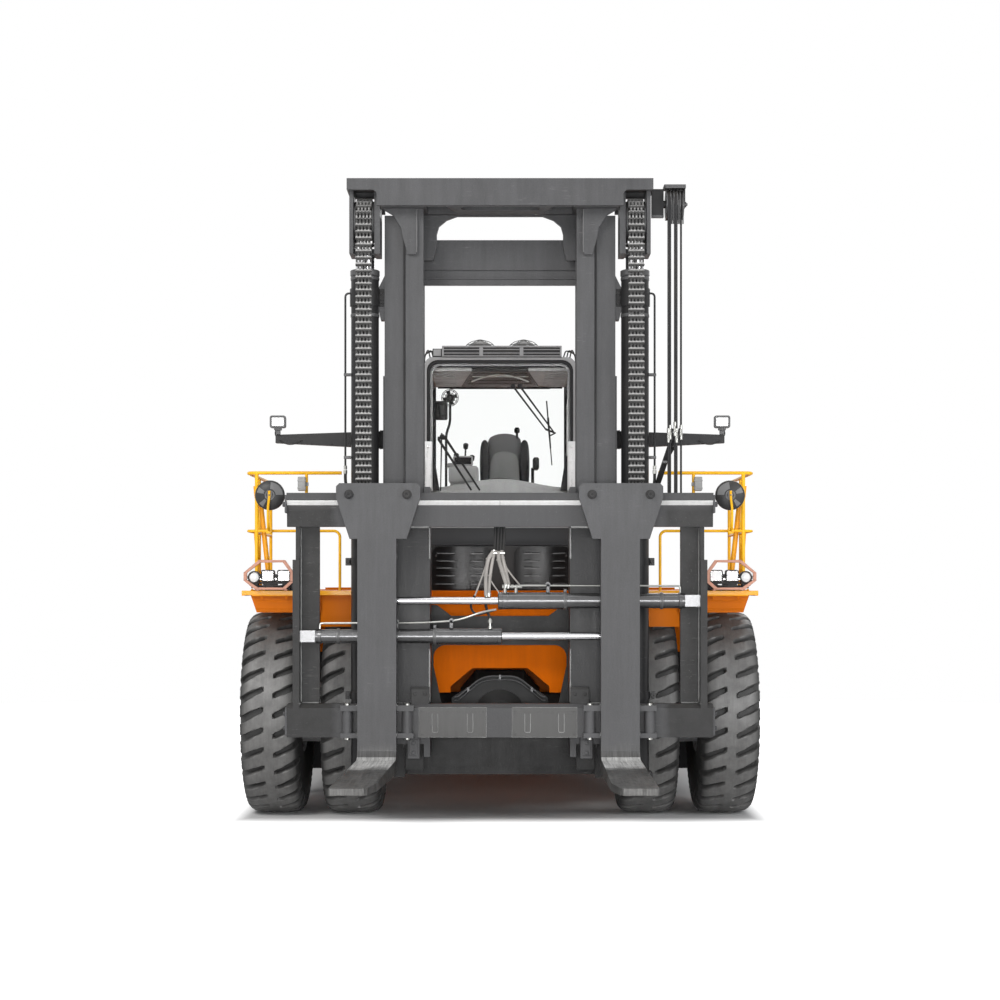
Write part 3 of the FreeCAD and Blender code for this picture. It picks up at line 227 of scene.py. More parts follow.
def build_sprayed_skin():
    tree, ins, outs = effect("sprayed_skin", [("Mottle", 0.2), ("Grain", 400)],
                             ["Shade", "Height"])
    where = place_of(tree)
    broad = noise(tree, where, 1.3, 5, 0.6)
    runs = noise(tree, stretched(tree, where, (16, 16, 1.6)), 1.0, 5, 0.65)
    fine = tree.nodes.new("ShaderNodeTexNoise")
    fine.inputs["Detail"].default_value = 3
    tree.links.new(where, fine.inputs["Vector"])
    tree.links.new(ins.outputs["Grain"], fine.inputs["Scale"])
    coarse = maths(tree, "ADD", maths(tree, "MULTIPLY", broad, 0.45), maths(tree, "MULTIPLY", runs, 0.35))
    total = maths(tree, "ADD", coarse, maths(tree, "MULTIPLY", fine.outputs["Fac"], 0.2))
    swing = maths(tree, "MULTIPLY", maths(tree, "SUBTRACT", total, 0.5), ins.outputs["Mottle"])
    tree.links.new(maths(tree, "ADD", maths(tree, "MULTIPLY", swing, 4.0), 1.0), outs.inputs["Shade"])
    tree.links.new(fine.outputs["Fac"], outs.inputs["Height"])
    return tree


def build_settled_dust():
    tree, ins, outs = effect("settled_dust", [("Amount", 0.3)], ["Mask"])
    where = place_of(tree)
    up = remap(tree, facing(tree)["Z"], 0.1, 1.0)
    patches = remap(tree, noise(tree, where, 5, 6, 0.7), 0.38, 0.68)
    lying = maths(tree, "MULTIPLY", up, patches)
    layer_mask = maths(tree, "MULTIPLY", remap(tree, noise(tree, where, 2.3, 5, 0.6), 0.45, 0.75), 0.25)
    total = maths(tree, "MULTIPLY", maths(tree, "MAXIMUM", lying, layer_mask), ins.outputs["Amount"])
    tree.links.new(total, outs.inputs["Mask"])
    return tree


def build_grime():
    """Painted shade: a darkness that grows from one distance off the middle to another, and below a height.
    """
    tree, ins, outs = effect("grime", [("Side From", 0.0), ("Side To", 0.1), ("Top From", 3.0),
                                       ("Top To", 2.9)], ["Mask"])
    where = place_of(tree)
    here = axes(tree, where)
    wander = maths(tree, "MULTIPLY", noise(tree, where, 3.0, 6, 0.7), 0.10)
    side = maths(tree, "ADD", maths(tree, "ABSOLUTE", here["X"], 0), wander)
    height = maths(tree, "ADD", here["Z"], wander)
    beyond = remap(tree, side, ins.outputs["Side From"], ins.outputs["Side To"])
    below = remap(tree, height, ins.outputs["Top From"], ins.outputs["Top To"])
    patches = remap(tree, noise(tree, where, 6, 6, 0.7), 0.30, 0.62, 0.72, 1.0)
    layer_mask = maths(tree, "MULTIPLY", maths(tree, "MULTIPLY", beyond, below), patches)
    tree.links.new(maths(tree, "MULTIPLY", layer_mask, 0.86), outs.inputs["Mask"])
    return tree


grime = build_grime()
rubbed_edges = build_rubbed_edges()
scuffs = build_scuffs()
sprayed_skin = build_sprayed_skin()
settled_dust = build_settled_dust()


def place_effect(tree, group, **values):
    node = tree.nodes.new("ShaderNodeGroup")
    node.node_tree = group
    for label, value in values.items():
        node.inputs[label].default_value = value
    return node


def blend_colour(tree, mask, under, over, kind="MIX"):
    node = tree.nodes.new("ShaderNodeMix")
    node.data_type = "RGBA"
    node.blend_type = kind
    for slot, value in ((0, mask), (6, under), (7, over)):
        if isinstance(value, tuple):
            node.inputs[slot].default_value = (*value, 1)
        elif isinstance(value, (int, float)):
            node.inputs[slot].default_value = value
        else:
            tree.links.new(value, node.inputs[slot])
    return node.outputs[2]


DUST = (0.30, 0.26, 0.21)
# Near-black tone of the painted shade.
PAINTED_SHADE_TONE = (0.012, 0.0115, 0.011)
edge_paint = {}


def enamel(name, colour, rough=0.45, mottle=0.12, wear=0.6, bare=(0.32, 0.31, 0.30), dust=0.25,
           grain=380, bump=0.05, coat=0.0, metal=0.0, scuff=0.0, spec=0.22, shade_zone=None):
    """Sprayed paint, and the same paint rubbed through for the edges of the piece."""
    for edge in ((False, True) if wear else (False,)):
        material = bpy.data.materials.new(name + ("_edges" if edge else ""))
        material.use_nodes = True
        tree = material.node_tree
        paint = tree.nodes["Principled BSDF"]
        skin = place_effect(tree, sprayed_skin, Mottle=mottle, Grain=grain)
        dirt = place_effect(tree, settled_dust, Amount=dust)
        shade = tree.nodes.new("ShaderNodeCombineColor")
        for slot in range(3):
            tree.links.new(skin.outputs["Shade"], shade.inputs[slot])
        tone = blend_colour(tree, 1.0, colour, shade.outputs[0], "MULTIPLY")
        # Painted shade: a near-black tone over a zone set by distance off the middle and by height.
        if shade_zone:
            shade_node = place_effect(tree, grime)
            for label, value in zip(("Side From", "Side To", "Top From", "Top To"), shade_zone):
                shade_node.inputs[label].default_value = value
            tone = blend_colour(tree, shade_node.outputs["Mask"], tone, PAINTED_SHADE_TONE)
        if edge:
            rubbed = place_effect(tree, rubbed_edges, Wear=wear)
            tone = blend_colour(tree, rubbed.outputs["Mask"], tone, bare)
        elif scuff:
            marks = place_effect(tree, scuffs, Amount=scuff)
            tone = blend_colour(tree, marks.outputs["Mask"], tone, bare)
        dusty = blend_colour(tree, dirt.outputs["Mask"], tone, DUST)
        tree.links.new(dusty, paint.inputs["Base Color"])
        uneven = maths(tree, "MULTIPLY", skin.outputs["Shade"], rough)
        dull = maths(tree, "ADD", uneven, maths(tree, "MULTIPLY", dirt.outputs["Mask"], 0.3))
        tree.links.new(dull, paint.inputs["Roughness"])
        paint.inputs["Metallic"].default_value = metal
        paint.inputs["Specular IOR Level"].default_value = spec
        paint.inputs["Coat Weight"].default_value = coat
        paint.inputs["Coat Roughness"].default_value = 0.18
        relief = tree.nodes.new("ShaderNodeBump")
        relief.inputs["Strength"].default_value = bump
        relief.inputs["Distance"].default_value = 0.002
        tree.links.new(skin.outputs["Height"], relief.inputs["Height"])
        tree.links.new(relief.outputs[0], paint.inputs["Normal"])
        if edge:
            edge_paint[name] = material
        else:
            plain = material
    return plain


def dress(material, names, width=0.004):
    """Gives CAD pieces their finish, and the small rubbed round that a real plate edge has."""
    for name in names:
        part = nodes[name]
        part.data.materials.clear()
        part.data.materials.append(material)
        if width:
            round_off = part.modifiers.new("edge_round", "BEVEL")
            round_off.width = width
            round_off.segments = 2
            round_off.limit_method = "ANGLE"
            round_off.angle_limit = math.radians(35)
            round_off.harden_normals = True
            if material.name in edge_paint:
                part.data.materials.append(edge_paint[material.name])
                round_off.material = 1
        for face in part.data.polygons:
            face.use_smooth = True
        part.data.set_sharp_from_angle(angle=math.radians(30))


orange_enamel = enamel("orange_enamel", (0.58, 0.138, 0.0), 0.40, 0.10, 0.5,
                       (0.80, 0.36, 0.10), dust=0.04, spec=0.08)
dress(orange_enamel, ["chassis_frame", "front_fenders", "deck_plates", "counterweight",
                      "power_bay", "power_hood"])
mast_enamel = enamel("mast_enamel", (0.072, 0.072, 0.0745), 0.5, 0.62, 0.95,
                     (0.40, 0.39, 0.38), 0.02, 95, 0.30, scuff=0.08)
# Painted shade on the mast channels, darker below about two and a half metres.
channel_enamel = enamel("channel_enamel", (0.070, 0.070, 0.0725), 0.5, 0.45, 0.95,
                        (0.40, 0.39, 0.38), 0.03, 95, 0.35, scuff=0.15, shade_zone=(-1.0, -0.9, 2.62, 2.40))
dress(channel_enamel, ["outer_mast", "inner_mast"])
# Painted shade on the carriage's outer ends, beyond 1.3 metres from the middle and below about 2.5 metres.
frame_enamel = enamel("frame_enamel", (0.052, 0.052, 0.054), 0.42, 0.3, 0.95,
                      (0.40, 0.39, 0.38), 0.03, 95, 0.35, scuff=0.2, shade_zone=(1.30, 1.36, 2.60, 2.52))
dress(frame_enamel, ["carriage"])
barrel_enamel = enamel("barrel_enamel", (0.016, 0.016, 0.017), 0.35, 0.3, 0.6, (0.16, 0.155, 0.15),
                       dust=0.1, scuff=0.3)
dress(barrel_enamel, ["lift_barrels", "tilt_barrel_left", "tilt_barrel_right"])
black_enamel = enamel("black_enamel", (0.022, 0.022, 0.023), 0.45, 0.2, 0.6, (0.16, 0.155, 0.15),
                      dust=0.2)
dress(black_enamel, ["front_axle", "rear_axle", "steer_knuckle_left", "steer_knuckle_right",
                     "tie_link_left", "tie_link_right", "side_box_left", "side_box_right",
                     "access_steps", "roof_unit", "cab_controls", "front_lights", "hose_pulley",
                     "battery_pack", "cab_riser"])
cab_enamel = enamel("cab_enamel", (0.028, 0.028, 0.03), 0.4, 0.1, 0.5, (0.12, 0.12, 0.12), dust=0.1)
dress(cab_enamel, ["cab_shell", "cab_door_left", "cab_door_right"])
rail_enamel = enamel("rail_enamel", (0.95, 0.50, 0.015), 0.3, 0.08, 0.0)
dress(rail_enamel, ["handrails"], 0)
hose_rubber = enamel("hose_rubber", (0.018, 0.018, 0.019), 0.5, 0.25, 0.0, dust=0.2)
polished_rod = enamel("polished_rod", (0.7, 0.7, 0.72), 0.12, 0.03, 0, metal=1.0)
dress(polished_rod, ["lift_rods", "positioner_rod_left", "positioner_rod_right", "tilt_rod_left",
                     "tilt_rod_right", "steering_rod"], 0)

# Tyres. Cushion-sided industrial tyres moulded in black rubber, with thirty-two
# slanting bar grooves from each shoulder that stop at a plain middle rib.
TYRE_RADIUS = 0.835
WHEELBASE = 4.5
TYRE_OUTLINE = [(0.205, 0.318), (0.216, 0.333), (0.222, 0.352), (0.231, 0.39), (0.237, 0.46),
                (0.24, 0.548), (0.2385, 0.62), (0.236, 0.69), (0.231, 0.748), (0.222, 0.784),
                (0.206, 0.808), (0.186, 0.821), (0.160, 0.829), (0.135, 0.8335), (0.115, 0.835),
                (0.095, 0.8352), (0.078, 0.8353), (0.066, 0.8354), (0.057, 0.8355),
                (0.049, 0.8355), (0.042, 0.8355), (0.034, 0.8355), (0.018, 0.8355),
                (0.0, 0.8355)]
BARS = 32
BAR_STEPS = (-0.036, -0.0275, -0.0222, -0.010, 0.010, 0.0222, 0.0275, 0.036)


def groove_depth(off, x, radius):
    """Depth of a bar groove at a distance off its middle line and x from the tyre's middle."""
    far = min(max(x, 0.064), 0.3)
    side = math.hypot(off, x - far) - 0.0272 * (1 + 1.4 * max(0, x - 0.08))
    wall = min(max(-side / 0.005, 0), 1)
    fade = min(max((radius - 0.70) / 0.09, 0), 1)
    return 0.044 * wall * (3 - 2 * wall) * wall * fade


def mould_tyre(bm, x, y, slant):
    pitch = 2 * math.pi / BARS
    lathe = [(-a, r) for a, r in TYRE_OUTLINE] + [(a, r) for a, r in reversed(TYRE_OUTLINE[:-1])]
    columns = []
    for bar in range(BARS * 2):
        for off in BAR_STEPS:
            angle = bar * pitch / 2 + off / TYRE_RADIUS
            side = -1 if bar % 2 else 1
            column = []
            for a, r in lathe:
                lean = slant * (0.34 * a + 0.6 * a * abs(a)) / TYRE_RADIUS
                cut = groove_depth(off, side * a, r) if side * a > 0 else 0.0
                rim = 0.0
                if 0.36 < r < 0.385:
                    rim = 0.004
                if 0.72 < r < 0.80:
                    rim = 0.005 * math.cos(off / 0.034 * math.pi)
                out = r - cut
                width = a - math.copysign(cut * 0.5, a) * min(max((0.83 - r) / 0.05, 0), 1)
                width += math.copysign(rim, a)
                turn = angle + lean
                column.append(bm.verts.new((x + width, y + out * math.sin(turn),
                                            TYRE_RADIUS + out * math.cos(turn))))
            columns.append(column)
    for first, second in zip(columns, columns[1:] + columns[:1]):
        for i in range(len(lathe) - 1):
            bm.faces.new((first[i], first[i + 1], second[i + 1], second[i]))
        bm.faces.new((first[-1], first[0], second[0], second[-1]))


def piece(name, bm, material, body, sharp=32):
    """Turns a finished mesh into a named piece that rides on a body."""
    bmesh.ops.recalc_face_normals(bm, faces=bm.faces)
    mesh = bpy.data.meshes.new(name)
    bm.to_mesh(mesh)
    bm.free()
    for face in mesh.polygons:
        face.use_smooth = True
    mesh.set_sharp_from_angle(angle=math.radians(sharp))
    mesh.materials.append(material)
    obj = bpy.data.objects.new(name, mesh)
    bpy.context.collection.objects.link(obj)
    if body:
        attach(obj, body)
    return obj


def build_rubbed_tread():
    tree, ins, outs = effect("rubbed_tread", [("Axle Y", 0.0), ("Axle Z", 0.8)],
                             ["Tread", "Streak", "Height"])
    where = place_of(tree)
    here = axes(tree, where)
    across = maths(tree, "SUBTRACT", here["Y"], ins.outputs["Axle Y"])
    above = maths(tree, "SUBTRACT", here["Z"], ins.outputs["Axle Z"])
    square = maths(tree, "ADD", maths(tree, "MULTIPLY", across, across),
                   maths(tree, "MULTIPLY", above, above))
    radius = maths(tree, "SQRT", square, 0)
    turned_away = remap(tree, radius, 0.795, 0.832)
    patches = remap(tree, noise(tree, where, 7, 6, 0.7), 0.25, 0.7, 0.35, 1.0)
    tree.links.new(maths(tree, "MULTIPLY", turned_away, patches), outs.inputs["Tread"])
    ribbon = tree.nodes.new("ShaderNodeCombineXYZ")
    for slot, (value, scale) in enumerate(((here["X"], 34), (across, 3), (above, 3))):
        tree.links.new(maths(tree, "MULTIPLY", value, scale), ribbon.inputs[slot])
    tree.links.new(remap(tree, noise(tree, ribbon.outputs[0], 1.6, 6, 0.75), 0.3, 0.75),
                   outs.inputs["Streak"])
    tree.links.new(noise(tree, where, 90, 6, 0.75), outs.inputs["Height"])
    return tree


rubbed_tread = build_rubbed_tread()


def tyre_rubber(name, axle_y):
    material = bpy.data.materials.new(name)
    material.use_nodes = True
    tree = material.node_tree
    rubber = tree.nodes["Principled BSDF"]
    tread = place_effect(tree, rubbed_tread)
    tread.inputs["Axle Y"].default_value = axle_y
    tread.inputs["Axle Z"].default_value = TYRE_RADIUS
    dirt = place_effect(tree, settled_dust, Amount=0.35)
    # The worn tread is a light grey: partly real wear, partly a painted sheen standing in for the lamps'
    # highlight on the tread.
    skin = blend_colour(tree, tread.outputs["Tread"], (0.010, 0.0098, 0.0096), (0.185, 0.182, 0.178))
    streaked = blend_colour(tree, maths(tree, "MULTIPLY", tread.outputs["Streak"], 0.45), skin,
                            (0.028, 0.027, 0.026))
    dusty = blend_colour(tree, maths(tree, "MULTIPLY", dirt.outputs["Mask"], 0.3), streaked,
                         (0.16, 0.145, 0.125))
    tree.links.new(dusty, rubber.inputs["Base Color"])
    streaky = remap(tree, tread.outputs["Streak"], 0.0, 1.0, 0.7, 1.0)
    worn = maths(tree, "MULTIPLY", tread.outputs["Tread"], streaky)
    shine = maths(tree, "SUBTRACT", 0.66, maths(tree, "MULTIPLY", worn, 0.32))
    tree.links.new(shine, rubber.inputs["Roughness"])
    rubber.inputs["Specular IOR Level"].default_value = 0.75
    relief = tree.nodes.new("ShaderNodeBump")
    relief.inputs["Strength"].default_value = 0.4
    relief.inputs["Distance"].default_value = 0.003
    tree.links.new(tread.outputs["Height"], relief.inputs["Height"])
    tree.links.new(relief.outputs[0], rubber.inputs["Normal"])
    return material


drive_rubber = tyre_rubber("drive_rubber", AXLE_Y)
steer_rubber = tyre_rubber("steer_rubber", AXLE_Y + WHEELBASE)
for side, sign in (("left", 1), ("right", -1)):
    bm = bmesh.new()
    for x in (1.21, 1.855):
        mould_tyre(bm, sign * x, AXLE_Y, 1)
    twins = piece("twin_tyres_" + side, bm, drive_rubber, "front_wheel_" + side, 38)
    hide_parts("front_tyres_" + side)
    bm = bmesh.new()
    mould_tyre(bm, sign * 1.5, AXLE_Y + WHEELBASE, 1)
    steered = piece("steer_tyre_" + side, bm, steer_rubber, "rear_wheel_" + side, 38)
    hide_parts("rear_tyre_" + side)

# Wheel centres. Rolled steel rims with a lock ring, clamped to the hub by a
# circle of studs and flanged nuts; sprayed silver grey.


def turned(bm, start, axis, profile, sides=24):
    """Skin turned about an axis; profile lists (distance along it, radius) end to end."""
    start, axis = Vector(start), Vector(axis).normalized()
    side = axis.orthogonal().normalized()
    up = axis.cross(side)
    rings = []
    for along, radius in profile:
        centre = start + axis * along
        if radius < 1e-6:
            rings.append([bm.verts.new(centre)])
            continue
        ring = []
        for i in range(sides):
            turn = 2 * math.pi * i / sides
            ring.append(bm.verts.new(centre + (side * math.cos(turn) + up * math.sin(turn)) * radius))
        rings.append(ring)
    for low, high in zip(rings, rings[1:]):
        for i in range(sides):
            j = (i + 1) % sides
            if len(low) == 1:
                bm.faces.new((low[0], high[j], high[i]))
            elif len(high) == 1:
                bm.faces.new((low[i], low[j], high[0]))
            else:
                bm.faces.new((low[i], low[j], high[j], high[i]))
    for ring in (rings[0], rings[-1]):
        if len(ring) > 2:
            bm.faces.new(ring)


def loft(bm, rings, ends=True):
    """Skin over rings of as many points each; the ends may be closed."""
    for one, two in zip(rings, rings[1:]):
        for i in range(len(one)):
            j = (i + 1) % len(one)
            bm.faces.new((one[i], one[j], two[j], two[i]))
    if ends:
        bm.faces.new(rings[0])
        bm.faces.new(list(reversed(rings[-1])))


def band(bm, start, axis, profile, sides=48):
    """Closed ring turned about an axis; the last profile point joins the first."""
    start, axis = Vector(start), Vector(axis).normalized()
    side = axis.orthogonal().normalized()
    up = axis.cross(side)
    loops = []
    for i in range(sides):
        turn = 2 * math.pi * i / sides
        out = side * math.cos(turn) + up * math.sin(turn)
        loops.append([bm.verts.new(start + axis * a + out * r) for a, r in profile])
    loft(bm, loops + loops[:1], False)


def bolt(bm, place, axis, across=0.03, high=0.018, stud=0.0):
    """Hexagon head on its washer, with the end of the stud showing if there is one."""
    r = across / 1.732
    turned(bm, place, axis, [(-0.002, r * 1.16), (high * 0.16, r * 1.16), (high * 0.2, r * 1.08)], 20)
    turned(bm, place, axis, [(high * 0.16, r), (high * 0.88, r), (high, r * 0.84)], 6)
    if stud:
        turned(bm, place, axis, [(high * 0.9, r * 0.5), (high + stud, r * 0.5),
                                 (high + stud * 1.2, r * 0.38)], 12)


rim_enamel = enamel("rim_enamel", (0.40, 0.40, 0.41), 0.42, 0.12, 0.45, (0.16, 0.09, 0.05), 0.3)
dress(rim_enamel, ["front_rims_left", "front_rims_right", "rear_rim_left", "rear_rim_right"])
nut_steel = enamel("nut_steel", (0.34, 0.34, 0.33), 0.38, 0.25, 0.5, (0.2, 0.12, 0.07), 0.15,
                   metal=0.75)
# wheel, face of the disc, face of the hub, outer rim, stud circle, studs, place of the axle
WHEELS = (("front_wheel_", 1.865, 2.045, 2.065, 0.262, 20, AXLE_Y),
          ("rear_wheel_", 1.57, 1.65, 1.71, 0.252, 16, AXLE_Y + WHEELBASE))
RIM_WIDE = 0.42
for side, sign in (("left", 1), ("right", -1)):
    for wheel, face, hub, rim, ring, count, y in WHEELS:
        bm = bmesh.new()
        centre = Vector((0, y, TYRE_RADIUS))
        for i in range(count):
            turn = 2 * math.pi * i / count
            spot = centre + Vector((sign * face, ring * math.sin(turn), ring * math.cos(turn)))
            bolt(bm, spot, (sign, 0, 0), 0.036, 0.03, 0.018)
        for i in range(8):
            turn = 2 * math.pi * (i + 0.5) / 8
            spot = centre + Vector((sign * hub, 0.095 * math.sin(turn), 0.095 * math.cos(turn)))
            bolt(bm, spot, (sign, 0, 0), 0.022, 0.014)
        turned(bm, centre + Vector((sign * hub, 0, 0)), (sign, 0, 0),
               [(-0.003, 0.052), (0.010, 0.052), (0.016, 0.044), (0.018, 0.02), (0.018, 0)], 24)
        piece("wheel_nuts_" + wheel + side, bm, nut_steel, wheel + side)
        bm = bmesh.new()
        for edge, way in ((rim, 1), (rim - RIM_WIDE, -1)):
            band(bm, centre + Vector((sign * edge, 0, 0)), (sign * way, 0, 0),
                 [(-0.035, 0.318), (-0.03, 0.330), (-0.012, 0.336), (0.004, 0.334), (0.010, 0.326),
                  (0.009, 0.314), (0.002, 0.302), (-0.012, 0.297), (-0.035, 0.297)], 72)
        turned(bm, centre + Vector((sign * (face + 0.002), 0.03, 0.222)), (sign, 0, 0.35),
               [(0, 0.007), (0.05, 0.006), (0.052, 0.008), (0.066, 0.008), (0.068, 0.0)], 12)
        piece("lock_rings_" + wheel + side, bm, rim_enamel, wheel + side)

# Lift chains. Leaf chain of 50.8 millimetre pitch, stamped plates of oiled
# steel laced five and four across and held together by riveted pins.
PITCH = 0.0508
CHAIN_X = 1.063
CHAIN_WIDE = 0.121
CHAIN_Y = (AXLE_Y - 1.225, AXLE_Y - 0.895)
SHEAVE_TOP = 4.75
SHEAVE_RADIUS = 0.165
LEAF_OUTLINE = [(0.0, 0.0140), (0.45, 0.0150), (0.62, 0.0178), (0.78, 0.0208), (0.93, 0.0226),
                (1.08, 0.0222), (1.30, 0.0202), (1.45, 0.0156), (1.56, 0.0080), (1.60, 0.0)]


def leaf(bm, x, thick, first, second, across):
    """One waisted plate standing between two pins; across is the way the plate's edge faces."""
    middle, reach = (first + second) / 2, (second - first) / 2
    outline = LEAF_OUTLINE + [(along, -wide) for along, wide in reversed(LEAF_OUTLINE[1:-1])]
    outline += [(-along, -wide) for along, wide in LEAF_OUTLINE]
    outline += [(-along, wide) for along, wide in reversed(LEAF_OUTLINE[1:-1])]
    outline = outline[:1] + [p for q, p in zip(outline, outline[1:]) if p != q]
    places = [middle + reach * along + across * wide for along, wide in outline]
    near = [bm.verts.new(p + Vector((x - thick / 2, 0, 0))) for p in places]
    far = [bm.verts.new(p + Vector((x + thick / 2, 0, 0))) for p in places]
    bm.faces.new(near)
    bm.faces.new(list(reversed(far)))
    for i in range(len(near)):
        j = (i + 1) % len(near)
        bm.faces.new((near[i], near[j], far[j], far[i]))


def lace(bm, x, pins, across):
    """Chain laced along a list of pin places in the plane x = 0."""
    step = CHAIN_WIDE / 9
    for i, (one, two) in enumerate(zip(pins, pins[1:])):
        columns = range(0, 9, 2) if i % 2 == 0 else range(1, 8, 2)
        for c in columns:
            for half in (-1, 1):
                leaf(bm, x + (c - 4) * step + half * step * 0.25, step * 0.46, one, two, across(i))
    for spot in pins:
        turned(bm, spot + Vector((x - CHAIN_WIDE / 2 - 0.003, 0, 0)), (1, 0, 0),
               [(0, 0.0075), (0.001, 0.009), (CHAIN_WIDE + 0.005, 0.009),
                (CHAIN_WIDE + 0.006, 0.0075)], 8)


def build_upper_highlight():
    """Painted highlight: lighter steel on what faces up, over steel that is black with grease beneath."""
    tree, ins, outs = effect("upper_highlight", [("From", 0.1), ("To", 0.45)], ["Mask"])
    up = remap(tree, facing(tree)["Z"], ins.outputs["From"], ins.outputs["To"])
    where = place_of(tree)
    patches = remap(tree, noise(tree, where, 40, 4, 0.6), 0.3, 0.6, 0.7, 1.0)
    tree.links.new(maths(tree, "MULTIPLY", up, patches), outs.inputs["Mask"])
    return tree


upper_highlight = build_upper_highlight()
leaf_steel = enamel("leaf_steel", (0.055, 0.054, 0.053), 0.34, 0.25, 0.0, dust=0.0, grain=500)
tree = leaf_steel.node_tree
steel = tree.nodes["Principled BSDF"]
# Painted highlight on the chain plates: pale steel on their upward faces.
lit_tops = place_effect(tree, upper_highlight, From=0.12, To=0.42).outputs["Mask"]
under = steel.inputs["Base Color"].links[0].from_socket
tree.links.new(blend_colour(tree, lit_tops, under, (0.46, 0.455, 0.45)), steel.inputs["Base Color"])
tree.links.new(maths(tree, "MULTIPLY", lit_tops, 0.5), steel.inputs["Metallic"])
for side, sign in (("left", 1), ("right", -1)):
    x = sign * CHAIN_X
    for label, y, low, ends in (("front", CHAIN_Y[0], 2.56, ("carriage", "inner_mast", 2.52)),
                                ("back", CHAIN_Y[1], 2.46, ("outer_mast", "inner_mast", 2.425))):
        bm = bmesh.new()
        count = int((SHEAVE_TOP - low) / PITCH) + 1
        pins = [Vector((0, y, SHEAVE_TOP - i * PITCH)) for i in range(count)]
        lace(bm, x, pins, lambda i: Vector((0, 1, 0)))
        block = pins[-1].z
        turned(bm, Vector((x, y, block - 0.012)), (0, 0, -1),
               [(-0.03, 0.034), (0.01, 0.036), (0.05, 0.030), (0.055, 0.019), (0.10, 0.019)], 16)
        strand = piece("lift_chain_%s_%s" % (label, side), bm, leaf_steel, None)
        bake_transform(strand)
        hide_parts(label + "_chains")
    bm = bmesh.new()
    middle = Vector((0, AXLE_Y - 1.06, SHEAVE_TOP))
    turns = [math.pi * i / 10 for i in range(11)]
    pins = [middle + Vector((0, -math.cos(t), math.sin(t))) * SHEAVE_RADIUS for t in turns]
    lace(bm, x, pins, lambda i: Vector((0, -math.cos(turns[i] + 0.157), math.sin(turns[i] + 0.157))))
    over = piece("lift_chain_over_sheave_" + side, bm, leaf_steel, "inner_mast")
    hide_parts("front_chains")

# Chain anchors and sheaves. Forged anchor bolts with two locked nuts under the
# carriage and mast lugs; cast sheaves with eight ribs on greased steel axles.
sheave_iron = enamel("sheave_iron", (0.06, 0.06, 0.062), 0.4, 0.25, 0.9, (0.35, 0.34, 0.32), 0.1)
dress(sheave_iron, ["chain_sheaves"], 0.003)
for side, sign in (("left", 1), ("right", -1)):
    for y, z, body in ((CHAIN_Y[0], 2.38, "carriage"), (CHAIN_Y[1], 2.23, "outer_mast")):
        bm = bmesh.new()
        spot = Vector((sign * CHAIN_X, y, z))
        turned(bm, spot, (0, 0, -1), [(-0.004, 0.031), (0.004, 0.031), (0.005, 0.026)], 24)
        for drop in (0.004, 0.026):
            turned(bm, spot - Vector((0, 0, drop)), (0, 0, -1),
                   [(0, 0.027), (0.018, 0.027), (0.0205, 0.023)], 6)
        turned(bm, spot, (0, 0, -1), [(0.04, 0.0165), (0.095, 0.0165), (0.098, 0.013)], 16)
        piece("chain_anchor_%s_%s" % (body, side), bm, nut_steel, body)
    bm = bmesh.new()
    hub = Vector((sign * CHAIN_X, AXLE_Y - 1.06, SHEAVE_TOP))
    for face in (-1, 1):
        edge = hub + Vector((face * 0.0755, 0, 0))
        for i in range(8):
            turn = 2 * math.pi * i / 8
            out = Vector((0, math.sin(turn), math.cos(turn)))
            side_way = Vector((0, math.cos(turn), -math.sin(turn)))
            base = [edge + out * r + side_way * w for r, w in
                    ((0.062, 0.014), (0.062, -0.014), (0.134, -0.007), (0.134, 0.007))]
            low = [bm.verts.new(p) for p in base]
            high = [bm.verts.new(p + Vector((face * 0.007, 0, 0))) for p in base]
            bm.faces.new(high)
            for a in range(4):
                b = (a + 1) % 4
                bm.faces.new((low[a], low[b], high[b], high[a]))
        turned(bm, edge, (face, 0, 0), [(-0.002, 0.062), (0.008, 0.060), (0.010, 0.054)], 32)
    piece("sheave_ribs_" + side, bm, sheave_iron, "inner_mast")

# Mast welds. The rolled channels are welded to thick cross plates; the beads are
# left as laid and painted over.


def spot(x, y, z):
    """Place in metres from the middle of the front axle line on the ground."""
    return Vector((x, y + AXLE_Y, z))


def slab(bm, low, high, chamfer=0.003):
    """Cut plate between two corners, with its edges broken."""
    x0, y0, z0 = low
    x1, y1, z1 = high
    corners = [spot(x, y, z) for x in (x0, x1) for y in (y0, y1) for z in (z0, z1)]
    points = [bm.verts.new(c) for c in corners]
    faces = []
    for quad in ((0, 1, 3, 2), (4, 6, 7, 5), (0, 4, 5, 1), (2, 3, 7, 6), (0, 2, 6, 4), (1, 5, 7, 3)):
        faces.append(bm.faces.new([points[i] for i in quad]))
    if chamfer:
        edges = list({e for f in faces for e in f.edges})
        bmesh.ops.bevel(bm, geom=edges, offset=chamfer, segments=1, affect="EDGES", profile=0.5)


def side_slab(bm, sign, low, high, chamfer=0.003):
    """The same plate on the left (sign 1) or on the right (sign -1)."""
    x0, x1 = sorted((low[0] * sign, high[0] * sign))
    slab(bm, (x0, *low[1:]), (x1, *high[1:]), chamfer)


def profile_plate(bm, outline, way, start, end, chamfer=0.003):
    """Plate flame cut to an outline of two coordinates and drawn along the third axis."""
    def place(a, b, along):
        if way == "x":
            return spot(along, a, b)
        if way == "y":
            return spot(a, along, b)
        return spot(a, b, along)
    near = [bm.verts.new(place(a, b, start)) for a, b in outline]
    far = [bm.verts.new(place(a, b, end)) for a, b in outline]
    faces = [bm.faces.new(near), bm.faces.new(list(reversed(far)))]
    for i in range(len(outline)):
        j = (i + 1) % len(outline)
        faces.append(bm.faces.new((near[j], near[i], far[i], far[j])))
    bmesh.ops.recalc_face_normals(bm, faces=faces)
    if chamfer:
        edges = list(faces[0].edges) + list(faces[1].edges)
        bmesh.ops.bevel(bm, geom=edges, offset=chamfer, segments=1, affect="EDGES", profile=0.5)


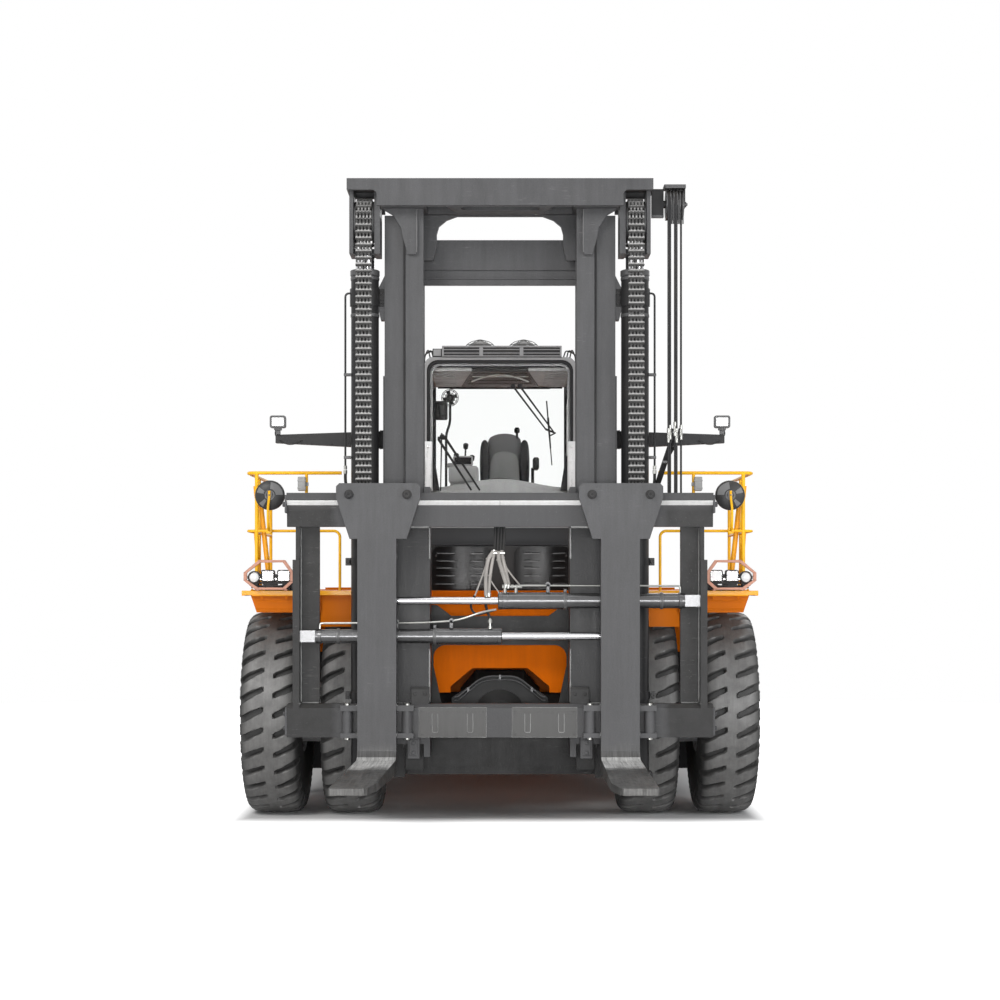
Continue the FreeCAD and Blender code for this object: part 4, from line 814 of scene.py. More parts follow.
def bent_path(points, bend, step=6):
    """Straight runs through the points, with the corners rounded."""
    path = [Vector(points[0])]
    for before, corner, after in zip(points, points[1:], points[2:]):
        corner, back, on = Vector(corner), Vector(before) - Vector(corner), Vector(after) - Vector(corner)
        reach = min(bend, back.length * 0.49, on.length * 0.49)
        start, end = corner + back.normalized() * reach, corner + on.normalized() * reach
        for i in range(step + 1):
            t = i / step
            path.append(start.lerp(corner, t).lerp(corner.lerp(end, t), t))
    path.append(Vector(points[-1]))
    return path


def pipe(bm, points, radius, bend=0.04, sides=10, step=6):
    """Pipe or hose of one bore along rounded runs, open path, closed ends."""
    path = bent_path(points, bend, step)
    rings = []
    side = (path[1] - path[0]).orthogonal().normalized()
    for i, here in enumerate(path):
        run = (path[min(i + 1, len(path) - 1)] - path[max(i - 1, 0)]).normalized()
        side = (side - run * side.dot(run)).normalized()
        up = run.cross(side)
        rings.append([bm.verts.new(here + (side * math.cos(2 * math.pi * k / sides)
                                           + up * math.sin(2 * math.pi * k / sides)) * radius)
                      for k in range(sides)])
    loft(bm, rings)


def weld(bm, start, end, radius=0.006, seed=1, out=(0, -1, 0)):
    """Weld bead laid between two places, rippled by hand."""
    rng = random.Random(seed)
    start, end = Vector(start), Vector(end)
    run = (end - start).normalized()
    up = run.cross(Vector(out)).normalized()
    over = up.cross(run)
    count = max(3, int((end - start).length / 0.016))
    rows = []
    for i in range(count + 1):
        size = radius * (0.8 + 0.35 * rng.random())
        centre = start.lerp(end, i / count) + up * radius * 0.2 * (rng.random() - 0.5)
        rows.append([bm.verts.new(centre + (up * math.cos(t) + over * math.sin(t)) * size)
                     for t in (0, 0.8, 1.57, 2.35, math.pi, 4.7)])
    loft(bm, rows)


def both(build, name, material, body, sharp=32):
    """Builds a fitting on both sides of the truck; a body that ends in _ is one of a pair too."""
    for side, sign in (("left", 1), ("right", -1)):
        bm = bmesh.new()
        build(bm, sign)
        piece(name + "_" + side, bm, material, body + side if body.endswith("_") else body, sharp)


def single(build, name, material, body, sharp=32):
    """Builds a fitting that the truck has once."""
    bm = bmesh.new()
    build(bm)
    return piece(name, bm, material, body, sharp)


weld_paint = enamel("weld_paint", (0.12, 0.12, 0.122), 0.45, 0.3, 0.0, dust=0.1)


def outer_welds(bm, sign):
    a, b = 0.748 * sign, 0.906 * sign
    for z in (4.669, 4.302):
        weld(bm, spot(a, -0.752, z), spot(0.62 * sign, -0.752, z), 0.006, int(z * 100))
    for z0, z1 in ((4.31, 4.66), (0.66, 1.74)):
        weld(bm, spot(a, -0.754, z0), spot(a, -0.754, z1), 0.007, 7)
    for z in (2.985, 3.125):
        weld(bm, spot(b, -0.862, z), spot(b + 0.05 * sign, -0.862, z), 0.006, 9)
    for z in (2.25, 2.40):
        weld(bm, spot(b, -0.926, z), spot(0.985 * sign, -0.926, z), 0.006, 11)
    weld(bm, spot(b + 0.006 * sign, -1.092, 0.43), spot(1.18 * sign, -1.19, 0.43), 0.006, 5)
    weld(bm, spot(0.735 * sign, -0.812, 0.662), spot(0.02 * sign, -0.812, 0.662), 0.007, 3)


both(outer_welds, "outer_mast_welds", weld_paint, "outer_mast", 60)


def inner_welds(bm, sign):
    weld(bm, spot(0.60 * sign, -1.133, 4.846), spot(0.93 * sign, -1.133, 4.846), 0.006, 21)
    weld(bm, spot(0.652 * sign, -1.161, 4.50), spot(0.652 * sign, -1.161, 4.84), 0.006, 22)
    for z in (0.763, 2.387, 2.593):
        weld(bm, spot(0.60 * sign, -0.846, z), spot(0.02 * sign, -0.846, z), 0.006, 23)
    weld(bm, spot(0.02 * sign, -1.262, 4.846), spot(0.92 * sign, -1.262, 4.846), 0.006, 25)


both(inner_welds, "inner_mast_welds", weld_paint, "inner_mast", 60)

# Lift cylinders. Honed barrels with a screwed gland, a bolted strap round the
# head, a drain pipe down the outer side and a hose to the mast's valve.
CYLINDER = (1.063, -1.06)
gland_steel = enamel("gland_steel", (0.10, 0.10, 0.102), 0.32, 0.2, 0.0, dust=0.05, metal=0.4)
pipe_steel = enamel("pipe_steel", (0.030, 0.030, 0.031), 0.3, 0.2, 0.0, dust=0.1)
zinc_steel = enamel("zinc_steel", (0.42, 0.42, 0.40), 0.3, 0.3, 0.0, dust=0.1, metal=0.9)


def cylinder_head(bm, sign):
    x, y = CYLINDER
    centre = spot(x * sign, y, 0)
    band(bm, centre, (0, 0, 1), [(4.372, 0.078), (4.372, 0.104), (4.366, 0.116), (4.330, 0.116),
                                 (4.322, 0.1105), (4.322, 0.1095), (4.371, 0.1095), (4.371, 0.078)], 64)
    for z in (4.305, 4.015):
        band(bm, centre, (0, 0, 1), [(z - 0.012, 0.1085), (z - 0.012, 0.1125), (z, 0.1145),
                                     (z + 0.012, 0.1125), (z + 0.012, 0.1085)], 64)
    for i in range(6):
        turn = math.pi / 3 * i + 0.2
        turned(bm, centre + Vector((0.092 * math.cos(turn), 0.092 * math.sin(turn), 4.371)),
               (0, 0, 1), [(0, 0.006), (0.004, 0.006), (0.004, 0.0)], 8)


both(cylinder_head, "cylinder_glands", gland_steel, "outer_mast")


def cylinder_wiper(bm, sign):
    centre = spot(CYLINDER[0] * sign, CYLINDER[1], 0)
    band(bm, centre, (0, 0, 1), [(4.371, 0.075), (4.371, 0.094), (4.376, 0.090), (4.379, 0.077),
                                 (4.379, 0.075)], 48)


both(cylinder_wiper, "cylinder_wiper_seals", hose_rubber, "outer_mast")


def cylinder_straps(bm, sign):
    x, y = CYLINDER
    for z0, z1 in ((4.085, 4.225), (2.05, 2.11), (1.0, 1.06)):
        angles = [math.radians(-8 - 164 * i / 20) for i in range(21)]
        rows = []
        for turn in angles:
            out = Vector((math.cos(turn), math.sin(turn), 0))
            rows.append([bm.verts.new(spot(x * sign, y, z) + out * r)
                         for z, r in ((z0, 0.1100), (z0, 0.1190), (z1, 0.1190), (z1, 0.1100))])
        loft(bm, rows)
        for way in (-sign,) if z1 - z0 > 0.1 else (-1, 1):
            cx = x * sign + way * 0.130
            slab(bm, (cx - 0.022, y - 0.024, z0), (cx + 0.022, y - 0.008, z1), 0.002)
            if z1 - z0 > 0.1:
                for z in (z0 + 0.035, z1 - 0.035):
                    bolt(bm, spot(cx, y - 0.024, z), (0, -1, 0), 0.026, 0.016)
            else:
                bolt(bm, spot(cx, y - 0.024, (z0 + z1) / 2), (0, -1, 0), 0.022, 0.014)
                slab(bm, (cx - 0.016, y - 0.008, z0 + 0.008), (cx + 0.016, y + 0.05, z1 - 0.008), 0.002)


both(cylinder_straps, "cylinder_straps", barrel_enamel, "outer_mast")


def cylinder_pipes(bm, sign):
    x, y = CYLINDER
    pipe(bm, [spot((x + 0.09) * sign, y - 0.02, 4.19), spot((x + 0.153) * sign, y - 0.02, 4.19),
              spot((x + 0.153) * sign, y - 0.02, 2.83)], 0.0085, 0.04)
    pipe(bm, [spot((x + 0.03) * sign, y + 0.095, 0.60), spot((x + 0.03) * sign, y + 0.14, 0.60),
              spot((x + 0.03) * sign, y + 0.14, 2.25), spot((x + 0.01) * sign, y + 0.22, 2.33)],
         0.014, 0.03)


both(cylinder_pipes, "cylinder_pipes", pipe_steel, "outer_mast")


def pipe_fittings(bm, sign):
    x, y = CYLINDER
    cx = (x + 0.153) * sign
    for z, r, high in ((2.835, 0.014, 0.03), (2.80, 0.016, 0.028)):
        turned(bm, spot(cx, y - 0.02, z), (0, 0, -1), [(0, r), (high, r)], 6)
    turned(bm, spot((x + 0.03) * sign, y + 0.104, 0.60), (0, 1, 0), [(0, 0.024), (0.03, 0.024)], 6)


both(pipe_fittings, "pipe_fittings", zinc_steel, "outer_mast")


def pipe_clips(bm, sign):
    x, y = CYLINDER
    cx = (x + 0.153) * sign
    for z in (2.90, 3.55):
        x0, x1 = sorted((cx - 0.05 * sign, cx + 0.012 * sign))
        slab(bm, (x0, y - 0.032, z - 0.012), (x1, y - 0.006, z + 0.012), 0.003)
        bolt(bm, spot(cx - 0.03 * sign, y - 0.032, z), (0, -1, 0), 0.013, 0.008)


both(pipe_clips, "pipe_clips", gland_steel, "outer_mast")


def drain_hoses(bm, sign):
    x, y = CYLINDER
    cx = (x + 0.153) * sign
    pipe(bm, [spot(cx, y - 0.02, 2.775), spot(cx, y - 0.02, 2.71), spot(cx - 0.035 * sign, y - 0.01, 2.56),
              spot(cx - 0.06 * sign, y + 0.10, 2.46), spot(0.94 * sign, -0.90, 2.41)], 0.012, 0.06)


both(drain_hoses, "drain_hoses", hose_rubber, "outer_mast")

# Rail shadow. A thin black strip along the edge where the rails run in each other, a painted shadow in the
# corner between them.


def rail_shadow_strips(bm, sign):
    side_slab(bm, sign, (0.7475, -1.0925, 0.62), (0.762, -1.089, 4.64), 0.001)


both(rail_shadow_strips, "rail_shadow_strip", pipe_steel, "outer_mast")

# Carriage. Two solid beams on welded plates; a near-white strip along the upper bevel is a painted highlight,
# and hardened wear plates are bolted to the lower beam.
worn_steel = enamel("worn_steel", (0.058, 0.0575, 0.0565), 0.36, 0.6, 0.0, dust=0.0, metal=0.2)
# Near-white steel for the painted highlight on the upper bevel.
bevel_highlight_steel = enamel("bevel_highlight_steel", (0.93, 0.93, 0.92), 0.42, 0.35, 0.0, dust=0.0, metal=0.3)
bright_weld = enamel("bright_weld", (0.20, 0.20, 0.198), 0.35, 0.9, 0.0, dust=0.05, metal=0.3)


def paint_faces(name, material, test):
    """Another finish on those faces of a CAD piece that a test picks out."""
    part = nodes[name]
    part.data.materials.append(material)
    slot = len(part.data.materials) - 1
    for face in part.data.polygons:
        centre = face.center - Vector((0, AXLE_Y, 0))
        if test(abs(centre.x), centre.y, centre.z):
            face.material_index = slot


# Painted shade: a darker copy of the frame paint on the carriage's recessed inner faces between the beams.
carriage_shade_enamel = enamel("carriage_shade_enamel", (0.024, 0.024, 0.025), 0.42, 0.5, 0.95, (0.20, 0.195, 0.19),
                       0.0, 95, 0.35, scuff=0.3)
paint_faces("carriage", carriage_shade_enamel, lambda x, y, z: x < 0.83 and y > -1.30 and 0.985 < z < 2.345)


def bevel_strip(bm, x0, x1):
    outline = [(-1.4015, 2.5475), (-1.4025, 2.545), (-1.3680, 2.5135), (-1.3655, 2.5150),
               (-1.3990, 2.5475)]
    profile_plate(bm, outline, "x", x0, x1, 0)


def bevel_highlights(bm, sign):
    bevel_strip(bm, *sorted((0.001 * sign, 1.643 * sign)))


both(bevel_highlights, "hook_bevel_highlight", bevel_highlight_steel, "carriage")


BEAM_FACE = -1.3795
WEAR_PLATES = ((-0.626, -0.106), (0.093, 0.594))


def slotted_plate(bm, x0, x1, seed):
    """Wear plate with three long slots worn through to the beam."""
    z0, z1 = 0.724, 0.950
    slab(bm, (x0, -1.3815, z0), (x1, BEAM_FACE, z1), 0.0005)
    rng = random.Random(seed)
    wide = (x1 - x0) / 3
    for i in range(3):
        cx = x0 + wide * (i + 0.5) + rng.uniform(-0.01, 0.01)
        slab(bm, (cx - wide * 0.36, -1.3825, z1 - 0.045), (cx + wide * 0.36, -1.3812, z1 - 0.030), 0.0004)
    for x in (x0 + 0.022, x1 - 0.022):
        for z in (z0 + 0.024, z1 - 0.024):
            turned(bm, spot(x, -1.3815, z), (0, -1, 0),
                   [(-0.001, 0.011), (0.0005, 0.011), (0.001, 0.008)], 12)


bm = bmesh.new()
for (x0, x1), seed in zip(WEAR_PLATES, (4, 8)):
    slotted_plate(bm, x0, x1, seed)
piece("lower_wear_plates", bm, worn_steel, "carriage")


def wear_plate_rims(bm):
    for (x0, x1), seed in zip(WEAR_PLATES, (71, 75)):
        for i, (a, b) in enumerate((((x0, 0.952), (x1, 0.952)), ((x0, 0.722), (x1, 0.722)),
                                    ((x0, 0.722), (x0, 0.952)), ((x1, 0.722), (x1, 0.952)))):
            weld(bm, spot(a[0], BEAM_FACE, a[1]), spot(b[0], BEAM_FACE, b[1]), 0.0022, seed + i)
        for t in (0.24, 0.76):
            x = x0 + (x1 - x0) * t
            pipe(bm, [spot(x - 0.022, BEAM_FACE, 0.905), spot(x - 0.022, BEAM_FACE, 0.760),
                      spot(x + 0.022, BEAM_FACE, 0.760), spot(x + 0.022, BEAM_FACE, 0.905)], 0.0032, 0.012, 8)


single(wear_plate_rims, "lower_wear_welds", bright_weld, "carriage", 60)


def carriage_tabs(bm, sign):
    profile_plate(bm, [(-1.352, 0.9775), (-1.300, 0.9775), (-1.300, 1.108), (-1.340, 1.108),
                       (-1.352, 1.09)], "x", *sorted((0.546 * sign, 0.688 * sign)), 0.003)
    for x in (0.58, 0.655):
        bolt(bm, spot(x * sign, -1.352, 1.055), (0, -1, 0), 0.020, 0.012)


both(carriage_tabs, "bearing_pads", channel_enamel, "carriage")


def roller_brackets(bm, sign):
    x0, x1 = sorted((0.622 * sign, 0.716 * sign))
    slab(bm, (x0, -1.335, 0.552), (x1, -1.255, 0.7205), 0.004)
    slab(bm, (x0 + 0.012, -1.342, 0.575), (x1 - 0.012, -1.334, 0.70), 0.003)
    for z in (0.60, 0.675):
        bolt(bm, spot((x0 + x1) / 2, -1.342, z), (0, -1, 0), 0.024, 0.014)


both(roller_brackets, "side_roller_brackets", mast_enamel, "carriage")


def end_stops(bm, sign):
    x0, x1 = sorted((1.6435 * sign, 1.660 * sign))
    slab(bm, (x0, -1.405, 2.452), (x1, -1.30, 2.592), 0.004)
    bolt(bm, spot(x1 if sign > 0 else x0, -1.36, 2.52), (sign, 0, 0), 0.036, 0.02)
    slab(bm, (x0, -1.385, 0.735), (x1, -1.27, 0.955), 0.004)
    for z in (0.79, 0.90):
        bolt(bm, spot(x1 if sign > 0 else x0, -1.33, z), (sign, 0, 0), 0.03, 0.018)


both(end_stops, "beam_end_stops", mast_enamel, "carriage")


def carriage_welds(bm, sign):
    weld(bm, spot(0.70 * sign, -1.34, 0.981), spot(0.815 * sign, -1.30, 0.981), 0.009, 31, (0, 0, 1))
    weld(bm, spot(0.60 * sign, -1.262, 0.980), spot(0.545 * sign, -1.262, 0.980), 0.009, 32, (0, 0, 1))
    weld(bm, spot(1.548 * sign, -1.377, 0.980), spot(1.601 * sign, -1.262, 0.980), 0.009, 33, (0, 0, 1))
    weld(bm, spot(1.547 * sign, -1.262, 0.99), spot(1.547 * sign, -1.262, 2.34), 0.006, 34)
    for x in (0.548, 0.809):
        weld(bm, spot(x * sign, -1.268, 0.99), spot(x * sign, -1.268, 1.40), 0.008, 35)
        weld(bm, spot(x * sign, -1.268, 2.10), spot(x * sign, -1.268, 2.34), 0.008, 36)
    weld(bm, spot(0.55 * sign, -1.36, 2.344), spot(0.81 * sign, -1.36, 2.344), 0.008, 37)
    weld(bm, spot(1.41 * sign, -1.262, 0.981), spot(1.54 * sign, -1.262, 0.981), 0.008, 38, (0, 0, 1))


both(carriage_welds, "carriage_welds", bright_weld, "carriage", 60)


def roller_caps(bm, sign):
    for z in (0.72, 1.5, 2.44):
        turned(bm, spot(0.5915 * sign, -0.97, z), (-sign, 0, 0),
               [(-0.002, 0.085), (0.001, 0.085), (0.004, 0.070), (0.004, 0.030), (0.012, 0.028),
                (0.014, 0.022)], 40)


both(roller_caps, "roller_caps", worn_steel, "carriage")

# Forks. Forged and ground alloy steel, painted on the shank and worn to bare
# metal on the blade and heel; each hook cap is held by two large bolts.
FORKS = {1: (0.922, 0.928), -1: (-0.944, -0.934)}


def build_fork_wear_and_highlight():
    """Bare metal on the blade and heel, with streaks along the run of the fork, and a painted highlight,
    near-white, on the upward faces near the heel.
    """
    tree, ins, outs = effect("fork_wear_and_highlight", [("Amount", 1.0)], ["Bare", "Streak", "Polish And Highlight"])
    where = place_of(tree)
    here = axes(tree, where)
    low = remap(tree, here["Z"], 0.72, 0.50)
    ragged = maths(tree, "ADD", low, maths(tree, "MULTIPLY", noise(tree, where, 9, 6, 0.75), 0.8))
    bare = remap(tree, ragged, 0.55, 1.15)
    tree.links.new(maths(tree, "MULTIPLY", bare, ins.outputs["Amount"]), outs.inputs["Bare"])
    drawn = stretched(tree, where, (70, 2.2, 6))
    along = remap(tree, noise(tree, drawn, 1.0, 5, 0.7), 0.38, 0.66)
    tree.links.new(along, outs.inputs["Streak"])
    cloud = maths(tree, "MULTIPLY", noise(tree, where, 5, 6, 0.75), 0.9)
    wander = remap(tree, maths(tree, "ADD", here["Y"], cloud), AXLE_Y - 1.98, AXLE_Y - 1.66)
    near = maths(tree, "MULTIPLY", wander, remap(tree, facing(tree)["Z"], 0.6, 0.9))
    polish_and_highlight = maths(tree, "MULTIPLY", near, remap(tree, along, 0.0, 1.0, 0.45, 1.0))
    tree.links.new(polish_and_highlight, outs.inputs["Polish And Highlight"])
    return tree


fork_wear_and_highlight = build_fork_wear_and_highlight()
for name in ("mast_enamel", "mast_enamel_edges"):
    source = bpy.data.materials[name]
    copy = source.copy()
    copy.name = name.replace("mast", "fork")
    tree = copy.node_tree
    paint = tree.nodes["Principled BSDF"]
    under = paint.inputs["Base Color"].links[0].from_socket
    worn = place_effect(tree, fork_wear_and_highlight, Amount=1.0)
    metal = blend_colour(tree, worn.outputs["Streak"], (0.045, 0.0445, 0.043), (0.125, 0.123, 0.120))
    # Painted highlight: the bare steel on the upward faces near the heel is set near-white.
    metal = blend_colour(tree, worn.outputs["Polish And Highlight"], metal, (0.95, 0.945, 0.93))
    tree.links.new(blend_colour(tree, worn.outputs["Bare"], under, metal), paint.inputs["Base Color"])
    shine = paint.inputs["Roughness"].links[0].from_socket
    smooth = maths(tree, "MULTIPLY", worn.outputs["Bare"], -0.12)
    tree.links.new(maths(tree, "ADD", shine, smooth), paint.inputs["Roughness"])
    tree.links.new(maths(tree, "MULTIPLY", worn.outputs["Bare"], 0.55), paint.inputs["Metallic"])
    if name.endswith("edges"):
        edge_paint["fork_enamel"] = copy
    else:
        fork_enamel = copy
dress(fork_enamel, ["fork_left", "fork_right"], 0.006)


def hook_bolts(bm, sign):
    cx = FORKS[sign][1]
    for off in (-0.222, 0.222):
        turned(bm, spot(cx + off, -1.510, 2.59), (0, -1, 0),
               [(-0.002, 0.036), (0.004, 0.036), (0.006, 0.033)], 32)
        turned(bm, spot(cx + off, -1.514, 2.59), (0, -1, 0),
               [(0, 0.027), (0.024, 0.027), (0.028, 0.024), (0.028, 0.013), (0.018, 0.011)], 24)


both(hook_bolts, "fork_hook_bolts", black_enamel, "fork_")


def fork_guides(bm, sign):
    cx = FORKS[sign][0]
    for way in (-1, 1):
        x = cx + way * (0.1485 + 0.082)
        for z0, z1, r in ((0.929, 0.938, 0.030), (0.973, 0.985, 0.022), (0.708, 0.7225, 0.022),
                          (0.759, 0.768, 0.030)):
            turned(bm, spot(x, -1.431, z0), (0, 0, 1),
                   [(0, r), (z1 - z0, r), (z1 - z0 + 0.003, r * 0.8)], 24)


both(fork_guides, "guide_roller_pins", zinc_steel, "fork_")


def heel_weld(bm, sign):
    cx = FORKS[sign][0]
    for way in (-1, 1):
        x = cx + way * 0.149
        weld(bm, spot(x, -1.46, 0.975), spot(x, -1.40, 0.975), 0.007, 41, (way, 0, 0))
        weld(bm, spot(x, -1.478, 0.74), spot(x, -1.478, 0.765), 0.007, 42, (way, 0, 0))
    weld(bm, spot(cx - 0.146, -1.482, 2.236), spot(cx + 0.146, -1.482, 2.236), 0.006, 43)


both(heel_weld, "guide_welds", bright_weld, "fork_", 60)

# Windscreen surround. Pressed steel frame in satin grey round the glass, with a
# black rubber seal pushed over its inner edge.


def arch(half, low, high, corner, steps=8):
    """Outline of an opening with rounded upper corners, from the lower left round to the right."""
    points = [(-half, low)]
    for side in (-1, 1):
        for i in range(steps + 1):
            turn = math.pi / 2 * (i / steps if side < 0 else 1 - i / steps)
            points.append((side * (half - corner + corner * math.cos(turn)),
                           high - corner + corner * math.sin(turn)))
    return points + [(half, low)]


def arch_band(bm, outer, inner, y0, y1):
    """Flat ring between two outlines of the same count, with a small chamfer to the front."""
    loops = []
    for outline, y, shrink in ((outer, y1, 0), (outer, y0 + 0.004, 0), (outer, y0, 1), (inner, y0, 0),
                               (inner, y1, 0)):
        loop = []
        for (a, b), (c, d) in zip(outline, inner):
            t = 0.2 if shrink else 0
            loop.append(bm.verts.new(spot(a + (c - a) * t, y, b + (d - b) * t)))
        loops.append(loop)
    loft(bm, loops + loops[:1], False)


satin_grey = enamel("satin_grey", (0.30, 0.30, 0.305), 0.35, 0.35, 0.0, dust=0.1, coat=0.1,
                    scuff=0.3, bare=(0.5, 0.5, 0.5))
seal_rubber = enamel("seal_rubber", (0.012, 0.012, 0.013), 0.55, 0.2, 0.0, dust=0.1)
bm = bmesh.new()
arch_band(bm, arch(0.699, 2.42, 3.988, 0.092), arch(0.672, 2.43, 3.962, 0.100), 1.590, 1.612)
piece("windscreen_frame", bm, satin_grey, "chassis", 25)
bm = bmesh.new()
arch_band(bm, arch(0.672, 2.43, 3.962, 0.100), arch(0.645, 2.455, 3.935, 0.085), 1.596, 1.624)
piece("windscreen_seal", bm, seal_rubber, "chassis", 25)
bm = bmesh.new()
arch_band(bm, arch(0.645, 2.455, 3.935, 0.085), arch(0.622, 2.48, 3.912, 0.075), 1.626, 1.660)
piece("windscreen_trim", bm, satin_grey, "chassis", 25)

# Roof lining and sun blind. Grey ribbed lining either side; a dark smoked blind
# closes the roof window, with a bright wiper arc rubbed across it.
lining_grey = enamel("lining_grey", (0.34, 0.34, 0.34), 0.75, 0.7, 0.0, dust=0.0, grain=160,
                     bump=0.4)
blind_grey = enamel("blind_grey", (0.028, 0.026, 0.025), 0.6, 0.8, 0.0, dust=0.0, grain=200,
                    bump=0.2)


LINING_TOP = 3.8985


def lining(bm, sign):
    outline = [(0.262 * sign, 1.665), (0.652 * sign, 1.665), (0.652 * sign, 3.20), (0.39 * sign, 3.20)]
    profile_plate(bm, outline, "z", 3.868, LINING_TOP, 0)
    for i in range(7):
        y = 1.75 + 0.2 * i
        side_slab(bm, sign, (0.42, y, 3.861), (0.63, y + 0.03, 3.869), 0.003)


both(lining, "roof_lining", lining_grey, "chassis")
bm = bmesh.new()
profile_plate(bm, [(-0.262, 1.665), (0.262, 1.665), (0.39, 3.20), (-0.39, 3.20)], "z", 3.862, LINING_TOP, 0)
for i in range(4):
    slab(bm, (-0.25 - 0.02 * i, 1.80 + 0.32 * i, 3.856), (0.25 + 0.02 * i, 1.812 + 0.32 * i, 3.863), 0.002)
piece("roof_blind", bm, blind_grey, "chassis")
bm = bmesh.new()
arc = [spot(-0.27 + 0.54 * i / 14, 2.46 - 0.62 * math.sin(math.pi * i / 14), 3.852) for i in range(15)]
pipe(bm, arc, 0.007, 0.001, 6, 1)
slab(bm, (-0.26, 2.05, 3.852), (0.27, 2.066, 3.862), 0.002)
piece("blind_rail", bm, zinc_steel, "chassis")
bm = bmesh.new()
slab(bm, (-0.62, 3.17, 3.852), (0.62, 3.19, 3.872), 0.004)
slab(bm, (-0.50, 3.15, 3.846), (0.50, 3.172, 3.866), 0.004)
piece("rear_header", bm, cab_enamel, "chassis")

# Screen wipers. Two parallel black arms and a blade hang from the header, and
# two more stand at the lower left; spindles are capped with rubber.


def bar_between(bm, one, two, wide, thick):
    """Flat bar in the plane of the screen."""
    a, b = spot(*one), spot(*two)
    way = (b - a).normalized()
    out = way.cross(Vector((0, 1, 0))).normalized() * wide / 2
    deep = Vector((0, thick, 0))
    low = [bm.verts.new(a + out), bm.verts.new(a - out), bm.verts.new(a - out + deep),
           bm.verts.new(a + out + deep)]
    high = [bm.verts.new(b + out * 0.7), bm.verts.new(b - out * 0.7), bm.verts.new(b - out * 0.7 + deep),
            bm.verts.new(b + out * 0.7 + deep)]
    bm.faces.new(low)
    bm.faces.new(list(reversed(high)))
    for i in range(4):
        j = (i + 1) % 4
        bm.faces.new((low[i], high[i], high[j], low[j]))


GLASS_FACE = 1.566  # front of the windscreen
bm = bmesh.new()
for one, two in (((0.119, 3.72), (0.425, 3.317)), ((0.183, 3.72), (0.500, 3.289))):
    bar_between(bm, (one[0], GLASS_FACE, one[1]), (two[0], GLASS_FACE, two[1]), 0.018, 0.010)
    turned(bm, spot(one[0], GLASS_FACE + 0.028, one[1] + 0.002), (0, -1, 0),
           [(0, 0.022), (0.02, 0.022), (0.034, 0.014), (0.036, 0)], 14)
bar_between(bm, (0.418, GLASS_FACE - 0.004, 3.325), (0.510, GLASS_FACE - 0.004, 3.288), 0.020, 0.010)
bar_between(bm, (0.452, GLASS_FACE - 0.004, 3.262), (0.512, GLASS_FACE - 0.004, 3.292), 0.014, 0.010)
bar_between(bm, (0.427, GLASS_FACE + 0.004, 3.585), (0.476, GLASS_FACE + 0.004, 2.995), 0.013, 0.014)
bar_between(bm, (0.440, GLASS_FACE - 0.002, 3.43), (0.463, GLASS_FACE - 0.002, 3.15), 0.020, 0.008)
for one, two in (((-0.565, 3.235), (-0.262, 2.765)), ((-0.495, 3.235), (-0.185, 2.765))):
    bar_between(bm, (one[0], GLASS_FACE, one[1]), (two[0], GLASS_FACE, two[1]), 0.024, 0.010)
bar_between(bm, (-0.572, GLASS_FACE - 0.004, 3.245), (-0.488, GLASS_FACE - 0.004, 3.235), 0.026, 0.010)
bar_between(bm, (-0.535, GLASS_FACE + 0.004, 3.29), (-0.545, GLASS_FACE + 0.004, 2.76), 0.014, 0.014)
turned(bm, spot(-0.529, GLASS_FACE + 0.03, 3.255), (0, -1, 0),
       [(0, 0.026), (0.03, 0.026), (0.044, 0.016), (0.046, 0)], 14)
piece("screen_wipers", bm, seal_rubber, "chassis", 25)

# Operator's seat. Foam cushions in grey woven cloth with vinyl side bolsters,
# on a scissor base with a rubber bellows; armrest on the left.
seat_cloth = enamel("seat_cloth", (0.13, 0.13, 0.132), 0.85, 0.35, 0.0, dust=0.2, grain=900,
                    bump=0.5)
lumbar_cloth = enamel("lumbar_cloth", (0.20, 0.20, 0.20), 0.6, 0.35, 0.0, dust=0.2, grain=700,
                      bump=0.4)
seat_vinyl = enamel("seat_vinyl", (0.03, 0.03, 0.032), 0.45, 0.2, 0.0, dust=0.15, grain=500,
                    bump=0.3)


def cushion(name, material, centre, size, pull, crown, lean=0.0, taper=0.0):
    """Stuffed pad: a fine grid of its six faces, crowned, with its sides pulled in."""
    bm = bmesh.new()
    bmesh.ops.create_cube(bm, size=2)
    bmesh.ops.subdivide_edges(bm, edges=bm.edges[:], cuts=11, use_grid_fill=True)
    wide, deep, high = (s / 2 for s in size)
    for vert in bm.verts:
        x, y, z = vert.co
        swell = (1 - x * x) * (1 - z * z)
        edges = x ** 4 * (1 - z * z) + z ** 4 * (1 - x * x)
        round_in = 1 - pull * (x * x * z * z) - pull * 0.5 * edges * 0.2
        narrow = 1 - taper * (z + 1) / 2
        thin_rim = 1 - 0.35 * max(abs(x), abs(z)) ** 6
        vert.co = Vector((x * wide * round_in * narrow, y * (deep + crown * swell) * thin_rim,
                          z * high * round_in))
    turn = Matrix.Rotation(lean, 4, "X")
    for vert in bm.verts:
        vert.co = turn @ vert.co + spot(*centre)
    pad = piece(name, bm, material, "chassis", 80)
    smooth = pad.modifiers.new("stuffing", "SUBSURF")
    smooth.levels = smooth.render_levels = 1


